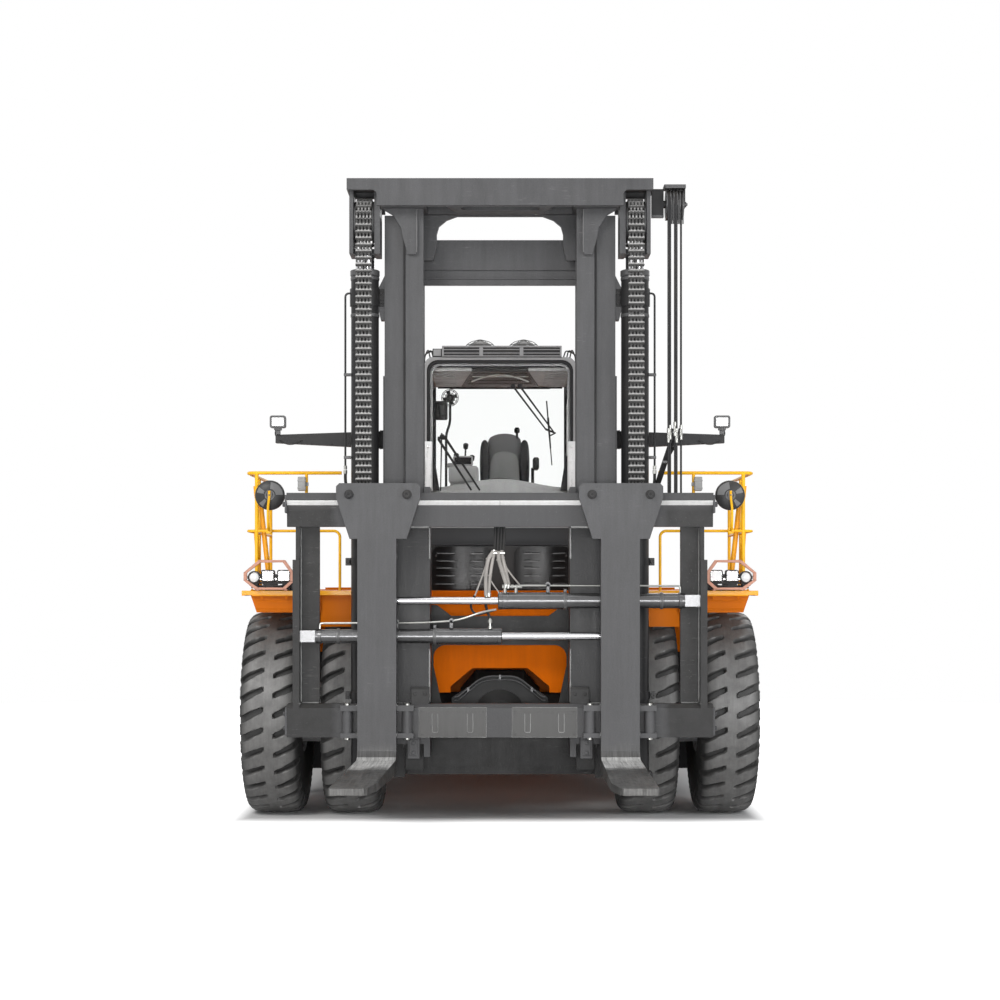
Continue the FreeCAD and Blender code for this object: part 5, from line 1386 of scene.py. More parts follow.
cushion("seat_back_rest", seat_cloth, (0.045, 2.735, 3.045), (0.40, 0.11, 0.66),
        0.16, 0.022, -0.06, 0.10)
for way in (-1, 1):
    cushion("seat_bolster_" + ("left" if way > 0 else "right"), seat_vinyl,
            (0.045 + way * 0.193, 2.70, 3.06), (0.10, 0.15, 0.50), 0.24, 0.014, -0.06, 0.0)
cushion("seat_lumbar_pad", lumbar_cloth, (0.045, 2.635, 2.975), (0.31, 0.06, 0.44),
        0.2, 0.02, -0.06, 0.10)
cushion("seat_cushion", seat_cloth, (0.05, 2.39, 2.645), (0.46, 0.50, 0.14), 0.12, 0.0, 0.03)
bm = bmesh.new()
for i in range(6):
    z = 2.335 + 0.036 * i
    grow = 0.01 * (i % 2)
    slab(bm, (-0.12 - grow, 2.21 - grow, z), (0.22 + grow, 2.60 + grow, z + 0.036), 0.008)
slab(bm, (-0.13, 2.205, 2.5515), (0.23, 2.62, 2.574), 0.006)
slab(bm, (0.315, 2.35, 3.004), (0.374, 2.60, 3.118), 0.014)
slab(bm, (0.300, 2.56, 2.80), (0.330, 2.62, 3.03), 0.008)
slab(bm, (0.288, 2.50, 2.63), (0.345, 2.585, 2.80), 0.012)
turned(bm, spot(0.165, 2.70, 3.36), (0, 0, 1),
       [(-0.04, 0.010), (0.012, 0.012), (0.02, 0.026), (0.05, 0.028), (0.068, 0.016), (0.07, 0)], 16)
seat_frame = piece("seat_frame", bm, black_enamel, "chassis")
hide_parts("cab_seat")

# Cab controls. Moulded grey cowl over the steering column, a side console with
# levers and screens, and a fan with a wire guard on a bent post.
cowl_grey = enamel("cowl_grey", (0.34, 0.34, 0.34), 0.5, 0.3, 0.0, dust=0.15, grain=300, bump=0.2)
bm = bmesh.new()
rows = []
for i in range(25):
    x = -0.618 + 1.236 * i / 24
    rise = 2.800 + 0.080 * math.cos(math.pi * x / 1.30) ** 2
    rows.append([bm.verts.new(spot(x, y, z)) for y, z in
                 ((1.655, 2.44), (1.662, rise - 0.05), (1.70, rise - 0.008), (1.78, rise),
                  (1.86, rise - 0.006), (1.895, 2.80), (1.905, 2.77))])
for one, two in zip(rows, rows[1:]):
    for k in range(6):
        bm.faces.new((one[k], one[k + 1], two[k + 1], two[k]))
for row in (rows[0], rows[-1]):
    bm.faces.new(row)
bm.faces.new([r[0] for r in rows] + [r[-1] for r in reversed(rows)])
piece("dash_cowl", bm, cowl_grey, "chassis", 30)
bm = bmesh.new()
slab(bm, (-0.475, 2.10, 2.325), (-0.215, 2.70, 2.86), 0.02)
slab(bm, (-0.485, 2.08, 2.86), (-0.205, 2.58, 3.02), 0.02)
slab(bm, (-0.445, 2.095, 3.02), (-0.255, 2.16, 3.115), 0.012)
slab(bm, (-0.505, 2.30, 3.02), (-0.40, 2.55, 3.06), 0.01)
piece("side_console", bm, cowl_grey, "chassis")
bm = bmesh.new()
for x, y, z, tall in ((-0.33, 2.20, 3.10, 0.13), (-0.27, 2.24, 3.02, 0.10), (-0.42, 2.26, 3.03, 0.11)):
    turned(bm, spot(x, y, z), (0.05, -0.1, 1),
           [(0, 0.008), (tall - 0.05, 0.008), (tall - 0.04, 0.022), (tall, 0.026),
            (tall + 0.012, 0.012), (tall + 0.013, 0)], 14)
slab(bm, (-0.43, 2.088, 3.035), (-0.27, 2.096, 3.10), 0.004)
piece("console_levers", bm, seal_rubber, "chassis")
bm = bmesh.new()
hub = spot(-0.463, 1.76, 3.631)
for r in (0.020, 0.044, 0.066, 0.078):
    turns = [2 * math.pi * i / 24 for i in range(25)]
    pipe(bm, [hub + Vector((r * math.cos(t), -0.012 * (1 - r * 10), r * math.sin(t))) for t in turns],
         0.0032, 0.001, 6, 1)
for i in range(12):
    turn = math.pi * i / 6
    pipe(bm, [hub + Vector((0.02 * math.cos(turn), -0.010, 0.02 * math.sin(turn))),
              hub + Vector((0.078 * math.cos(turn), -0.002, 0.078 * math.sin(turn)))], 0.0026, 0.001, 6, 1)
turned(bm, hub + Vector((0, 0.06, 0)), (0, -1, 0),
       [(0, 0.03), (0.02, 0.04), (0.055, 0.036), (0.06, 0.012)], 20)
for i in range(4):
    turn = math.pi / 2 * i + 0.4
    out = Vector((math.cos(turn), 0, math.sin(turn)))
    across = Vector((-math.sin(turn), 0.5, math.cos(turn))).normalized()
    quad = [hub + out * 0.018 - across * 0.014, hub + out * 0.066 - across * 0.030,
            hub + out * 0.070 + across * 0.016, hub + out * 0.020 + across * 0.012]
    loft(bm, [[bm.verts.new(q + Vector((0, deep, 0))) for q in quad] for deep in (0.010, 0.013)])
slab(bm, (-0.475, 1.775, 3.44), (-0.452, 1.80, 3.58), 0.004)
slab(bm, (-0.602, 1.74, 3.425), (-0.485, 1.79, 3.60), 0.012)
slab(bm, (-0.56, 1.73, 3.46), (-0.50, 1.742, 3.57), 0.004)
pipe(bm, [spot(-0.463, 1.80, 3.60), spot(-0.463, 1.80, 3.40), spot(-0.50, 1.80, 3.30),
          spot(-0.50, 1.80, 2.78)], 0.012, 0.05)
piece("cab_fan", bm, black_enamel, "chassis")

# Screen pillars. Bright pressed covers at the foot of each pillar, a dark gusset
# inside, and a chromed grab rod by the left pillar.
bright_trim = enamel("bright_trim", (0.66, 0.66, 0.66), 0.3, 0.4, 0.0, dust=0.05, metal=0.7)


def pillar_covers(bm, sign):
    x0, x1 = sorted((0.618 * sign, 0.698 * sign))
    slab(bm, (x0, 1.580, 2.76), (x1, 1.5985, 3.215), 0.008)
    slab(bm, (x0 + 0.012, 1.572, 2.79), (x1 - 0.012, 1.581, 3.04), 0.004)
    turned(bm, spot((x0 + x1) / 2, 1.580, 3.165), (0, -1, 0),
           [(0, 0.014), (0.006, 0.014), (0.010, 0.006)], 16)


both(pillar_covers, "pillar_covers", bright_trim, "chassis")


def pillar_gussets(bm, sign):
    profile_plate(bm, [(0.555 * sign, 2.765), (0.632 * sign, 2.765), (0.632 * sign, 3.085),
                       (0.605 * sign, 3.085)], "y", 1.628, 1.65, 0.003)


both(pillar_gussets, "pillar_gussets", cab_enamel, "chassis")
bm = bmesh.new()
pipe(bm, [spot(0.652, 1.68, 3.66), spot(0.632, 1.645, 3.62), spot(0.624, 1.645, 3.56),
          spot(0.624, 1.645, 3.05), spot(0.632, 1.645, 3.00), spot(0.652, 1.68, 2.96)], 0.011, 0.03)
piece("grab_rod", bm, bright_trim, "chassis")

# Roof fittings. Steel visor tray with two rows of slots, a box for relays beside
# it, and two low domed warning lamps, smoked, each under a wire guard.
lens_smoke = enamel("lens_smoke", (0.10, 0.098, 0.095), 0.18, 0.3, 0.0, dust=0.2, coat=0.5)
bm = bmesh.new()
top, face = 3.99, 1.573
for low, high in ((0.086, 0.1015), (0.002, 0.012)):
    slab(bm, (-0.532, face, top + low), (0.566, face + 0.012, top + high), 0.002)
for x0, x1 in ((-0.532, -0.515), (-0.19, -0.155), (0.18, 0.215), (0.55, 0.566)):
    slab(bm, (x0, face - 0.002, top + 0.012), (x1, face + 0.010, top + 0.086), 0.002)
for low, high in ((0.030, 0.038), (0.062, 0.070)):
    slab(bm, (-0.515, face, top + low), (0.55, face + 0.006, top + high), 0.0015)
for i in range(16):
    x = -0.485 + i * 0.067
    bolt(bm, spot(x, face, top + 0.094), (0, -1, 0), 0.010, 0.005)
slab(bm, (-0.612, 1.592, top + 0.01), (-0.54, 1.600, top + 0.07), 0.003)
piece("visor_tray", bm, satin_grey, "chassis")
for cx, name in ((-0.183, "right"), (0.218, "left")):
    bm = bmesh.new()
    turned(bm, spot(cx, 1.69, 4.091), (0, 0, 1),
           [(0, 0.112), (0.012, 0.112), (0.016, 0.105), (0.022, 0.098), (0.034, 0.086),
            (0.044, 0.066), (0.050, 0.045), (0.052, 0.036), (0.060, 0.030), (0.062, 0.0)], 40)
    piece("warning_lamp_" + name, bm, lens_smoke, "chassis")
    bm = bmesh.new()
    for turn in (0, math.pi / 3, 2 * math.pi / 3):
        way = Vector((math.cos(turn), math.sin(turn), 0))
        base = spot(cx, 1.69, 4.091)
        pipe(bm, [base + way * 0.130, base + way * 0.128 + Vector((0, 0, 0.018)),
                  base + way * 0.085 + Vector((0, 0, 0.050)), base + Vector((0, 0, 0.070)),
                  base - way * 0.085 + Vector((0, 0, 0.050)), base - way * 0.128 + Vector((0, 0, 0.018)),
                  base - way * 0.130], 0.0035, 0.02, 6, 3)
    turns = [2 * math.pi * i / 28 for i in range(29)]
    pipe(bm, [spot(cx + 0.128 * math.cos(t), 1.69 + 0.128 * math.sin(t), 4.106) for t in turns],
         0.0035, 0.001, 6, 1)
    piece("warning_lamp_guard_" + name, bm, gland_steel, "chassis")


def roof_cables(bm, sign):
    for i in range(3):
        x = (0.585 + 0.03 * i) * sign
        pipe(bm, [spot(x, 1.66 + 0.05 * i, 3.992), spot(x + 0.02 * sign, 1.66 + 0.05 * i, 4.06 + 0.012 * i),
                  spot(0.695 * sign, 1.66 + 0.05 * i, 4.02), spot(0.703 * sign, 1.67 + 0.05 * i, 3.90)],
             0.006, 0.03, 8)


both(roof_cables, "roof_cables", hose_rubber, "chassis")

# Deck and rails. The pressed lip of the deck and the upper faces of the front fenders are a brighter orange,
# a painted highlight; two sloping braces of 42 millimetre tube stand behind the front rail.
lip_enamel = enamel("lip_enamel", (0.92, 0.40, 0.012), 0.3, 0.10, 0.0, dust=0.05, coat=0.2)
# Painted highlight: brighter orange on the upper faces of the front fenders.
paint_faces("front_fenders", lip_enamel, lambda x, y, z: z > 1.806 and (x > 2.055 or y < -0.6))
paint_faces("outer_mast", black_enamel, lambda x, y, z: x > 0.965 and 2.9 < z < 3.25)


def deck_edges(bm, sign):
    y = -0.686
    side_slab(bm, sign, (0.93, y, 1.815), (2.082, y + 0.012, 1.852), 0.003)
    weld(bm, spot(1.46 * sign, y + 0.004, 1.812), spot(2.00 * sign, y + 0.004, 1.812), 0.004, 51)


# The deck's front lips are in the brighter orange of the painted highlight.
both(deck_edges, "deck_front_lips", lip_enamel, "chassis")


def sloping_braces(bm, sign):
    pipe(bm, [spot(1.950 * sign, -0.50, 2.56), spot(1.872 * sign, -0.50, 1.848)], 0.021, 0.001, 14, 1)
    pipe(bm, [spot(1.985 * sign, -0.53, 2.33), spot(1.948 * sign, -0.53, 1.848)], 0.019, 0.001, 14, 1)
    pipe(bm, [spot(1.95 * sign, -0.50, 2.56), spot(1.985 * sign, -0.53, 2.60),
              spot(1.992 * sign, -0.55, 2.70)], 0.012, 0.02, 10)
    for x, y in ((1.872, -0.50), (1.948, -0.53), (1.571, -0.56), (1.975, -0.56)):
        slab(bm, (x * sign - 0.045, y - 0.04, 1.8505), (x * sign + 0.045, y + 0.04, 1.858), 0.002)
        for way in (-1, 1):
            bolt(bm, spot(x * sign + way * 0.034, y - 0.025, 1.858), (0, 0, 1), 0.016, 0.008)


both(sloping_braces, "rail_braces", lip_enamel, "chassis")


def rail_clamp_boxes(bm, sign):
    slab(bm, (1.607 * sign - 0.032, -0.60, 2.66), (1.607 * sign + 0.032, -0.535, 2.775), 0.006)
    for z in (2.675, 2.735):
        slab(bm, (1.607 * sign - 0.034, -0.602, z), (1.607 * sign + 0.034, -0.533, z + 0.015), 0.002)
    slab(bm, (1.575 * sign - 0.02, -0.575, 2.70), (1.575 * sign + 0.02, -0.545, 2.73), 0.003)


both(rail_clamp_boxes, "rail_reflector_boxes", cowl_grey, "chassis")


def fender_ribs(bm, sign):
    for z in (1.70, 1.765):
        side_slab(bm, sign, (1.47, -0.6805, z), (1.965, -0.676, z + 0.006), 0.002)
    for x in (1.50, 1.72, 1.92):
        bolt(bm, spot(x * sign, -0.680, 1.795), (0, -1, 0), 0.018, 0.008)


both(fender_ribs, "fender_ribs", orange_enamel, "chassis")

# Convex mirrors. Round polycarbonate backs with moulded segments, held at the hub
# by a clamp plate to a yellow post on the middle rail.
mirror_back = enamel("mirror_back", (0.035, 0.035, 0.036), 0.35, 0.3, 0.0, dust=0.2)
mirror_pale = enamel("mirror_pale", (0.16, 0.16, 0.162), 0.35, 0.3, 0.0, dust=0.2)
MIRROR = (1.857, -0.665, 2.621)
SEGMENT = ((0.050, 0.0375), (0.080, 0.0325), (0.106, 0.0235), (0.106, 0.018), (0.05, 0.030))


def mirror_shell(bm, sign):
    x, y, z = MIRROR
    turned(bm, spot(x * sign, y + 0.012, z), (0, -1, 0),
           [(-0.010, 0.117), (0.0, 0.121), (0.012, 0.119), (0.020, 0.108), (0.030, 0.080), (0.036, 0.045),
            (0.038, 0.0)], 56)


both(mirror_shell, "mirror_shells", mirror_back, "chassis")


def mirror_segments(bm, sign):
    x, y, z = MIRROR
    for a0, a1 in ((95, 178), (12, 38), (300, 322)):
        rows = []
        steps = max(3, int((a1 - a0) / 8))
        for i in range(steps + 1):
            turn = math.radians(a0 + (a1 - a0) * i / steps)
            out, up = math.cos(turn), math.sin(turn)
            rows.append([bm.verts.new(spot(x * sign + r * out * sign, y + 0.012 - d, z + r * up))
                         for r, d in SEGMENT])
        loft(bm, rows)


both(mirror_segments, "mirror_segments", mirror_pale, "chassis")


def mirror_hubs(bm, sign):
    x, y, z = MIRROR
    here = spot(x * sign, y - 0.026, z)
    turned(bm, here, (0, -1, 0), [(-0.004, 0.034), (0.004, 0.034), (0.006, 0.030)], 4)
    band(bm, here, (0, -1, 0), [(-0.004, 0.030), (0.006, 0.030), (0.006, 0.040), (-0.004, 0.040)], 28)
    bolt(bm, here + Vector((0, -0.004, 0)), (0, -1, 0), 0.022, 0.012, 0.008)


both(mirror_hubs, "mirror_hubs", gland_steel, "chassis")
for side, sign in (("left", 1), ("right", -1)):
    bm = bmesh.new()
    x, y, z = MIRROR
    px = (x + 0.012) * sign
    pipe(bm, [spot(x * sign, y - 0.040, z + 0.035), spot(x * sign, y - 0.040, z - 0.02),
              spot(px, y - 0.034, z - 0.10), spot(px, y - 0.03, 2.36), spot(px, -0.585, 2.336)],
         0.0105, 0.05, 12)
    slab(bm, (px - 0.024, -0.612, 2.312), (px + 0.024, -0.5725, 2.360), 0.005)
    post = piece("mirror_post_" + side, bm, rail_enamel, "chassis")
    if sign > 0:
        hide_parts("mirrors")

# Work lamps. Square cast housings with a rounded rim and a pale fluted lens, on a
# stub at the end of each mast arm, fed by a looped cable.
lens_white = enamel("lens_white", (0.86, 0.86, 0.86), 0.15, 0.15, 0.0, dust=0.05, coat=0.6, grain=160,
                    bump=0.5)
lamp_rim = enamel("lamp_rim", (0.10, 0.10, 0.102), 0.35, 0.2, 0.6, (0.4, 0.4, 0.4), dust=0.1)


def rounded_box(bm, centre, wide, high, corner, y0, y1, open_to=0.0, steps=5):
    """Housing with rounded corners; open_to leaves a rim of that width to the front."""
    cx, cz = centre
    def loop(shrink, y):
        w, h, r = wide / 2 - shrink, high / 2 - shrink, max(corner - shrink, 0.002)
        points = []
        for sx, sz, a in ((1, 1, 0), (-1, 1, 90), (-1, -1, 180), (1, -1, 270)):
            for i in range(steps + 1):
                turn = math.radians(a + 90 * i / steps)
                points.append(bm.verts.new(spot(cx + sx * (w - r) + r * math.cos(turn), y,
                                                cz + sz * (h - r) + r * math.sin(turn))))
        return points
    loops = [loop(0.006, y1), loop(0, y1 - 0.006), loop(0, y0 + 0.006), loop(0.004, y0)]
    if open_to:
        loops += [loop(open_to, y0), loop(open_to + 0.002, y0 + 0.010)]
    loft(bm, loops)


def lens(bm, centre, wide, high, corner, y, lines):
    """Fluted lens: a crowned pane with small raised bars."""
    cx, cz = centre
    half = 0.0012
    rounded_box(bm, centre, wide, high, corner, y - 0.004, y + 0.006)
    for i in range(1, lines):
        x = cx - wide / 2 + wide * i / lines
        slab(bm, (x - half, y - 0.0065, cz - high / 2 + corner),
             (x + half, y - 0.0035, cz + high / 2 - corner), 0)
        z = cz - high / 2 + high * i / lines
        slab(bm, (cx - wide / 2 + corner, y - 0.0065, z - half),
             (cx + wide / 2 - corner, y - 0.0035, z + half), 0)


WORK_LAMP = (1.768, 3.196)
for side, sign in (("left", 1), ("right", -1)):
    bm = bmesh.new()
    here = (WORK_LAMP[0] * sign, WORK_LAMP[1])
    rounded_box(bm, here, 0.128, 0.100, 0.018, -0.902, -0.845, 0.012)
    for i in range(5):
        slab(bm, (here[0] - 0.05, -0.846, here[1] - 0.04 + 0.018 * i),
             (here[0] + 0.05, -0.825, here[1] - 0.034 + 0.018 * i), 0.001)
    slab(bm, (here[0] - 0.030, -0.895, 3.128), (here[0] + 0.030, -0.855, 3.148), 0.004)
    slab(bm, (here[0] - 0.018, -0.885, 3.096), (here[0] + 0.018, -0.845, 3.130), 0.003)
    bolt(bm, spot(here[0], -0.895, 3.138), (0, -1, 0), 0.018, 0.010)
    housing = piece("work_lamp_housing_" + side, bm, lamp_rim, "outer_mast")
    if sign > 0:
        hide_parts("work_lights")
    bm = bmesh.new()
    lens(bm, here, 0.102, 0.074, 0.010, -0.892, 5)
    piece("work_lamp_lens_" + side, bm, lens_white, "outer_mast")
    bm = bmesh.new()
    pipe(bm, [spot(here[0] + 0.01 * sign, -0.84, 3.16), spot(here[0] + 0.035 * sign, -0.83, 3.10),
              spot(1.74 * sign, -0.865, 3.035), spot(1.68 * sign, -0.90, 3.012),
              spot(1.62 * sign, -0.90, 3.02), spot(1.58 * sign, -0.868, 3.05)], 0.0045, 0.05, 8)
    for x in (1.34, 1.5):
        bolt(bm, spot(x * sign, -0.856, 3.02), (0, -1, 0), 0.014, 0.008)
    piece("work_lamp_cable_" + side, bm, hose_rubber, "outer_mast")

# Front lamp clusters. A round and two square lamps with chromed rims in a black
# carrier, behind a six sided guard of flat strip in worn copper paint.
guard_copper = enamel("guard_copper", (0.42, 0.215, 0.155), 0.4, 0.35, 0.9, (0.72, 0.62, 0.58), 0.1,
                      metal=0.3)
chrome_rim = enamel("chrome_rim", (0.62, 0.62, 0.62), 0.15, 0.2, 0.0, dust=0.05, metal=0.9)
paint_faces("front_lights", guard_copper,
            lambda x, y, z: y < -0.706 and z > 1.8505 and not (z < 1.872 and 1.69 < x < 1.97))
GUARD = [(1.672, 1.925), (1.672, 2.00), (1.735, 2.088), (1.930, 2.088), (2.046, 1.995), (2.046, 1.935),
         (1.955, 1.868), (1.735, 1.868)]
GUARD_MIDDLE = (1.86, 1.975)
GUARD_WIDE = 0.027
SQUARE_LAMPS = (1.869, 1.740)
SQUARE_LAMP_Z = 1.970
ROUND_LAMP = (1.979, 1.960)


def lamp_guards(bm, sign):
    count = len(GUARD)
    for i in range(count):
        (x0, z0), (x1, z1) = GUARD[i], GUARD[(i + 1) % count]
        points = []
        for x, z in ((x0, z0), (x1, z1)):
            out = Vector((x - GUARD_MIDDLE[0], 0, z - GUARD_MIDDLE[1])).normalized() * GUARD_WIDE
            points.append(((x - out.x / 2, z - out.z / 2), (x + out.x / 2, z + out.z / 2)))
        quad = [points[0][0], points[0][1], points[1][1], points[1][0]]
        profile_plate(bm, [(a * sign, b) for a, b in quad], "y", -0.745, -0.716, 0.0015)
    for x, z in ((1.72, 1.875), (1.95, 1.875)):
        slab(bm, (x * sign - 0.012, -0.74, z - 0.024), (x * sign + 0.012, -0.63, z - 0.012), 0.002)


both(lamp_guards, "lamp_guards", guard_copper, "chassis")


def lamp_carriers(bm, sign):
    for cx in SQUARE_LAMPS:
        rounded_box(bm, (cx * sign, SQUARE_LAMP_Z), 0.108, 0.098, 0.016, -0.712, -0.64, 0.008)
    x0, x1 = sorted((1.662 * sign, 1.935 * sign))
    slab(bm, (x0, -0.700, 1.955), (x1, -0.66, 1.985), 0.003)
    slab(bm, (x0, -0.698, 1.905), (x1, -0.655, 1.922), 0.003)
    band(bm, spot(ROUND_LAMP[0] * sign, -0.70, ROUND_LAMP[1]), (0, -1, 0),
         [(-0.05, 0.040), (-0.05, 0.050), (0.008, 0.050), (0.012, 0.047), (0.012, 0.041)], 40)
    side_slab(bm, sign, (1.925, -0.69, 1.945), (2.035, -0.665, 1.972), 0.003)
    for x in (1.70, 1.80, 1.90):
        slab(bm, (x * sign - 0.010, -0.69, 1.858), (x * sign + 0.010, -0.66, 1.91), 0.002)
    pipe(bm, [spot(1.86 * sign, -0.64, 1.95), spot(1.84 * sign, -0.70, 1.900),
              spot(1.79 * sign, -0.71, 1.886), spot(1.74 * sign, -0.70, 1.895),
              spot(1.70 * sign, -0.64, 1.87)], 0.007, 0.03, 8)


both(lamp_carriers, "lamp_carriers", black_enamel, "chassis")


def lamp_rims(bm, sign):
    for cx in SQUARE_LAMPS:
        rounded_box(bm, (cx * sign, SQUARE_LAMP_Z), 0.094, 0.084, 0.012, -0.7165, -0.706, 0.005)
    band(bm, spot(ROUND_LAMP[0] * sign, -0.712, ROUND_LAMP[1]), (0, -1, 0),
         [(-0.006, 0.036), (-0.006, 0.042), (0.004, 0.042), (0.006, 0.039), (0.004, 0.036)], 40)
    for x in (1.805, 1.675, 1.925):
        bolt(bm, spot(x * sign, -0.70, 1.945), (0, -1, 0), 0.014, 0.008)


both(lamp_rims, "lamp_rims", chrome_rim, "chassis")


def lamp_lenses(bm, sign):
    for cx in SQUARE_LAMPS:
        lens(bm, (cx * sign, SQUARE_LAMP_Z), 0.084, 0.074, 0.010, -0.713, 6)
    turned(bm, spot(ROUND_LAMP[0] * sign, -0.700, ROUND_LAMP[1]), (0, -1, 0),
           [(0, 0.038), (0.012, 0.038), (0.018, 0.030), (0.022, 0.016), (0.023, 0.0)], 36)


both(lamp_lenses, "lamp_lenses", lens_white, "chassis")

# Mud flaps. Sheet rubber behind the twin wheels, hung from a steel bar by six
# bolts, with a stiffening bead down each edge.


def mud_flaps(bm, sign):
    x0, x1 = sorted((0.97 * sign, 2.05 * sign))
    slab(bm, (x0, 1.215, 0.25), (x1, 1.227, 1.30), 0.004)
    for x in (x0 + 0.012, x1 - 0.032):
        slab(bm, (x, 1.209, 0.25), (x + 0.02, 1.216, 1.28), 0.003)
    slab(bm, (x0 - 0.02, 1.2005, 1.24), (x1 + 0.02, 1.2155, 1.30), 0.003)
    for i in range(6):
        bolt(bm, spot(x0 + 0.09 + i * (x1 - x0 - 0.18) / 5, 1.2005, 1.27), (0, -1, 0), 0.022, 0.010)


both(mud_flaps, "mud_flaps", seal_rubber, "chassis")

# Fork positioners. One long glossy cylinder to each fork with a thicker sleeve
# at its head, ringed with bands; steel pipes are clipped along the top.
POSITIONER_Y = -1.325
BARRELS = ((1.500, 0.054, -1), (1.775, 0.058, 1))
barrel_gloss = enamel("barrel_gloss", (0.13, 0.13, 0.133), 0.24, 0.35, 0.0, dust=0.04, metal=0.85,
                      scuff=0.3, bare=(0.5, 0.5, 0.5))
dress(barrel_gloss, ["positioner_barrels"])
SLEEVE_END = 0.504


def barrel_sleeves(bm):
    for z, r, way in BARRELS:
        band(bm, spot(way * -0.012, POSITIONER_Y, z), (way, 0, 0),
             [(-0.004, 0.031), (-0.004, r + 0.002), (0.002, r + 0.009), (0.030, r + 0.009),
              (0.032, r + 0.0075), (SLEEVE_END, r + 0.0075), (SLEEVE_END, r - 0.001),
              (0.01, r - 0.001)], 56)
        band(bm, spot(way * 1.39, POSITIONER_Y, z), (way, 0, 0),
             [(-0.010, r - 0.001), (-0.006, r + 0.006), (0.018, r + 0.004), (0.0205, r - 0.02)], 56)


single(barrel_sleeves, "positioner_sleeves", barrel_gloss, "carriage")


def barrel_rings(bm):
    for z, r, way in BARRELS:
        for x, grow in ((SLEEVE_END, 0.012), (0.94, 0.006), (1.25, 0.006)):
            band(bm, spot(way * x, POSITIONER_Y, z), (1, 0, 0),
                 [(-0.012, r - 0.001), (-0.012, r + grow), (0.0, r + grow + 0.002), (0.012, r + grow),
                  (0.012, r - 0.001)], 48)
        x = way * SLEEVE_END
        slab(bm, (x - 0.012, POSITIONER_Y - 0.012, z + r + 0.008),
             (x + 0.012, POSITIONER_Y + 0.012, z + r + 0.034), 0.003)
        bolt(bm, spot(x, POSITIONER_Y - 0.012, z + r + 0.022), (0, -1, 0), 0.014, 0.008)
    for x, low, high in ((0.371, 1.835, 1.921), (-0.377, 1.560, 1.640), (0.85, 1.835, 1.915),
                         (-0.80, 1.560, 1.632)):
        slab(bm, (x - 0.015, POSITIONER_Y - 0.020, low),
             (x + 0.015, POSITIONER_Y + 0.012, high - 0.012), 0.005)
        turned(bm, spot(x, POSITIONER_Y - 0.020, high - 0.018), (0, 1, 0), [(0, 0.018), (0.032, 0.018)], 16)
        bolt(bm, spot(x, POSITIONER_Y - 0.020, low + 0.02), (0, -1, 0), 0.013, 0.007)


single(barrel_rings, "positioner_bands", gland_steel, "carriage")


def barrel_pipes(bm):
    y = POSITIONER_Y
    pipe(bm, [spot(1.395, y, 1.833), spot(1.395, y, 1.890), spot(0.16, y, 1.892)], 0.0075, 0.02, 10)
    pipe(bm, [spot(0.040, y, 1.85), spot(0.040, y, 1.878), spot(0.16, y, 1.880)], 0.007, 0.02, 8)
    pipe(bm, [spot(-1.395, y, 1.553), spot(-1.395, y, 1.600), spot(-0.604, y, 1.604), spot(-0.33, y, 1.620),
              spot(-0.139, y, 1.688), spot(-0.03, y + 0.03, 1.706)], 0.0085, 0.09, 10)
    pipe(bm, [spot(-0.077, y, 1.560), spot(-0.077, y, 1.640)], 0.007, 0.01, 8)


single(barrel_pipes, "positioner_pipes", zinc_steel, "carriage")

# Positioner hoses. Two thick and one thin hose to each side in pale braided
# sleeves, tied at the top by a strap, with zinc plated ends and elbows.
braid_sleeve = enamel("braid_sleeve", (0.27, 0.255, 0.240), 0.6, 0.8, 0.0, dust=0.1, grain=260, bump=1.0)
SLEEVES = ((0.0150, ((-0.050, 2.16), (-0.092, 2.10), (-0.112, 1.97), (-0.107, 1.815))),
           (0.0130, ((-0.030, 2.165), (-0.052, 2.12), (-0.078, 1.97), (-0.088, 1.815))),
           (0.0160, ((-0.012, 2.16), (-0.010, 2.09), (0.018, 2.00), (0.048, 1.905))),
           (0.0140, ((0.012, 2.165), (0.020, 2.11), (0.045, 2.00), (0.068, 1.900))),
           (0.0065, ((-0.060, 2.14), (-0.098, 2.085), (-0.135, 1.97), (-0.194, 1.815))),
           (0.0065, ((0.030, 2.10), (0.045, 2.035), (0.092, 1.97), (0.150, 1.900))),
           (0.0050, ((-0.070, 1.93), (-0.045, 1.89), (-0.012, 1.845), (-0.005, 1.835))))


def braided_sleeves(bm):
    y = POSITIONER_Y - 0.012
    for i, (r, run) in enumerate(SLEEVES):
        pipe(bm, [spot(x, y + 0.012 * (i % 2), z) for x, z in run], r, 0.07, 12, 8)
        if r > 0.01:
            for x, z in run[1:3]:
                band(bm, spot(x, y + 0.012 * (i % 2), z), (0.1, 0, 1),
                     [(-0.006, r), (-0.006, r + 0.003), (0.006, r + 0.003), (0.006, r)], 16)


single(braided_sleeves, "positioner_sleeved_hoses", braid_sleeve, "carriage")


def positioner_hoses(bm):
    y = POSITIONER_Y
    for x, top in ((-0.045, -0.036), (-0.022, -0.014), (0.002, 0.010), (0.022, 0.032)):
        pipe(bm, [spot(top, y + 0.050, 2.36), spot(top, y + 0.045, 2.24), spot(x, y, 2.13)],
             0.0115, 0.06, 10)
    pipe(bm, [spot(-0.107, y + 0.008, 1.83), spot(-0.112, y + 0.05, 1.73), spot(-0.085, y + 0.04, 1.66),
              spot(-0.077, y, 1.625)], 0.011, 0.06, 10)
    pipe(bm, [spot(-0.194, y + 0.008, 1.82), spot(-0.235, y + 0.05, 1.73), spot(-0.19, y + 0.06, 1.66),
              spot(-0.05, y + 0.05, 1.70)], 0.009, 0.06, 10)


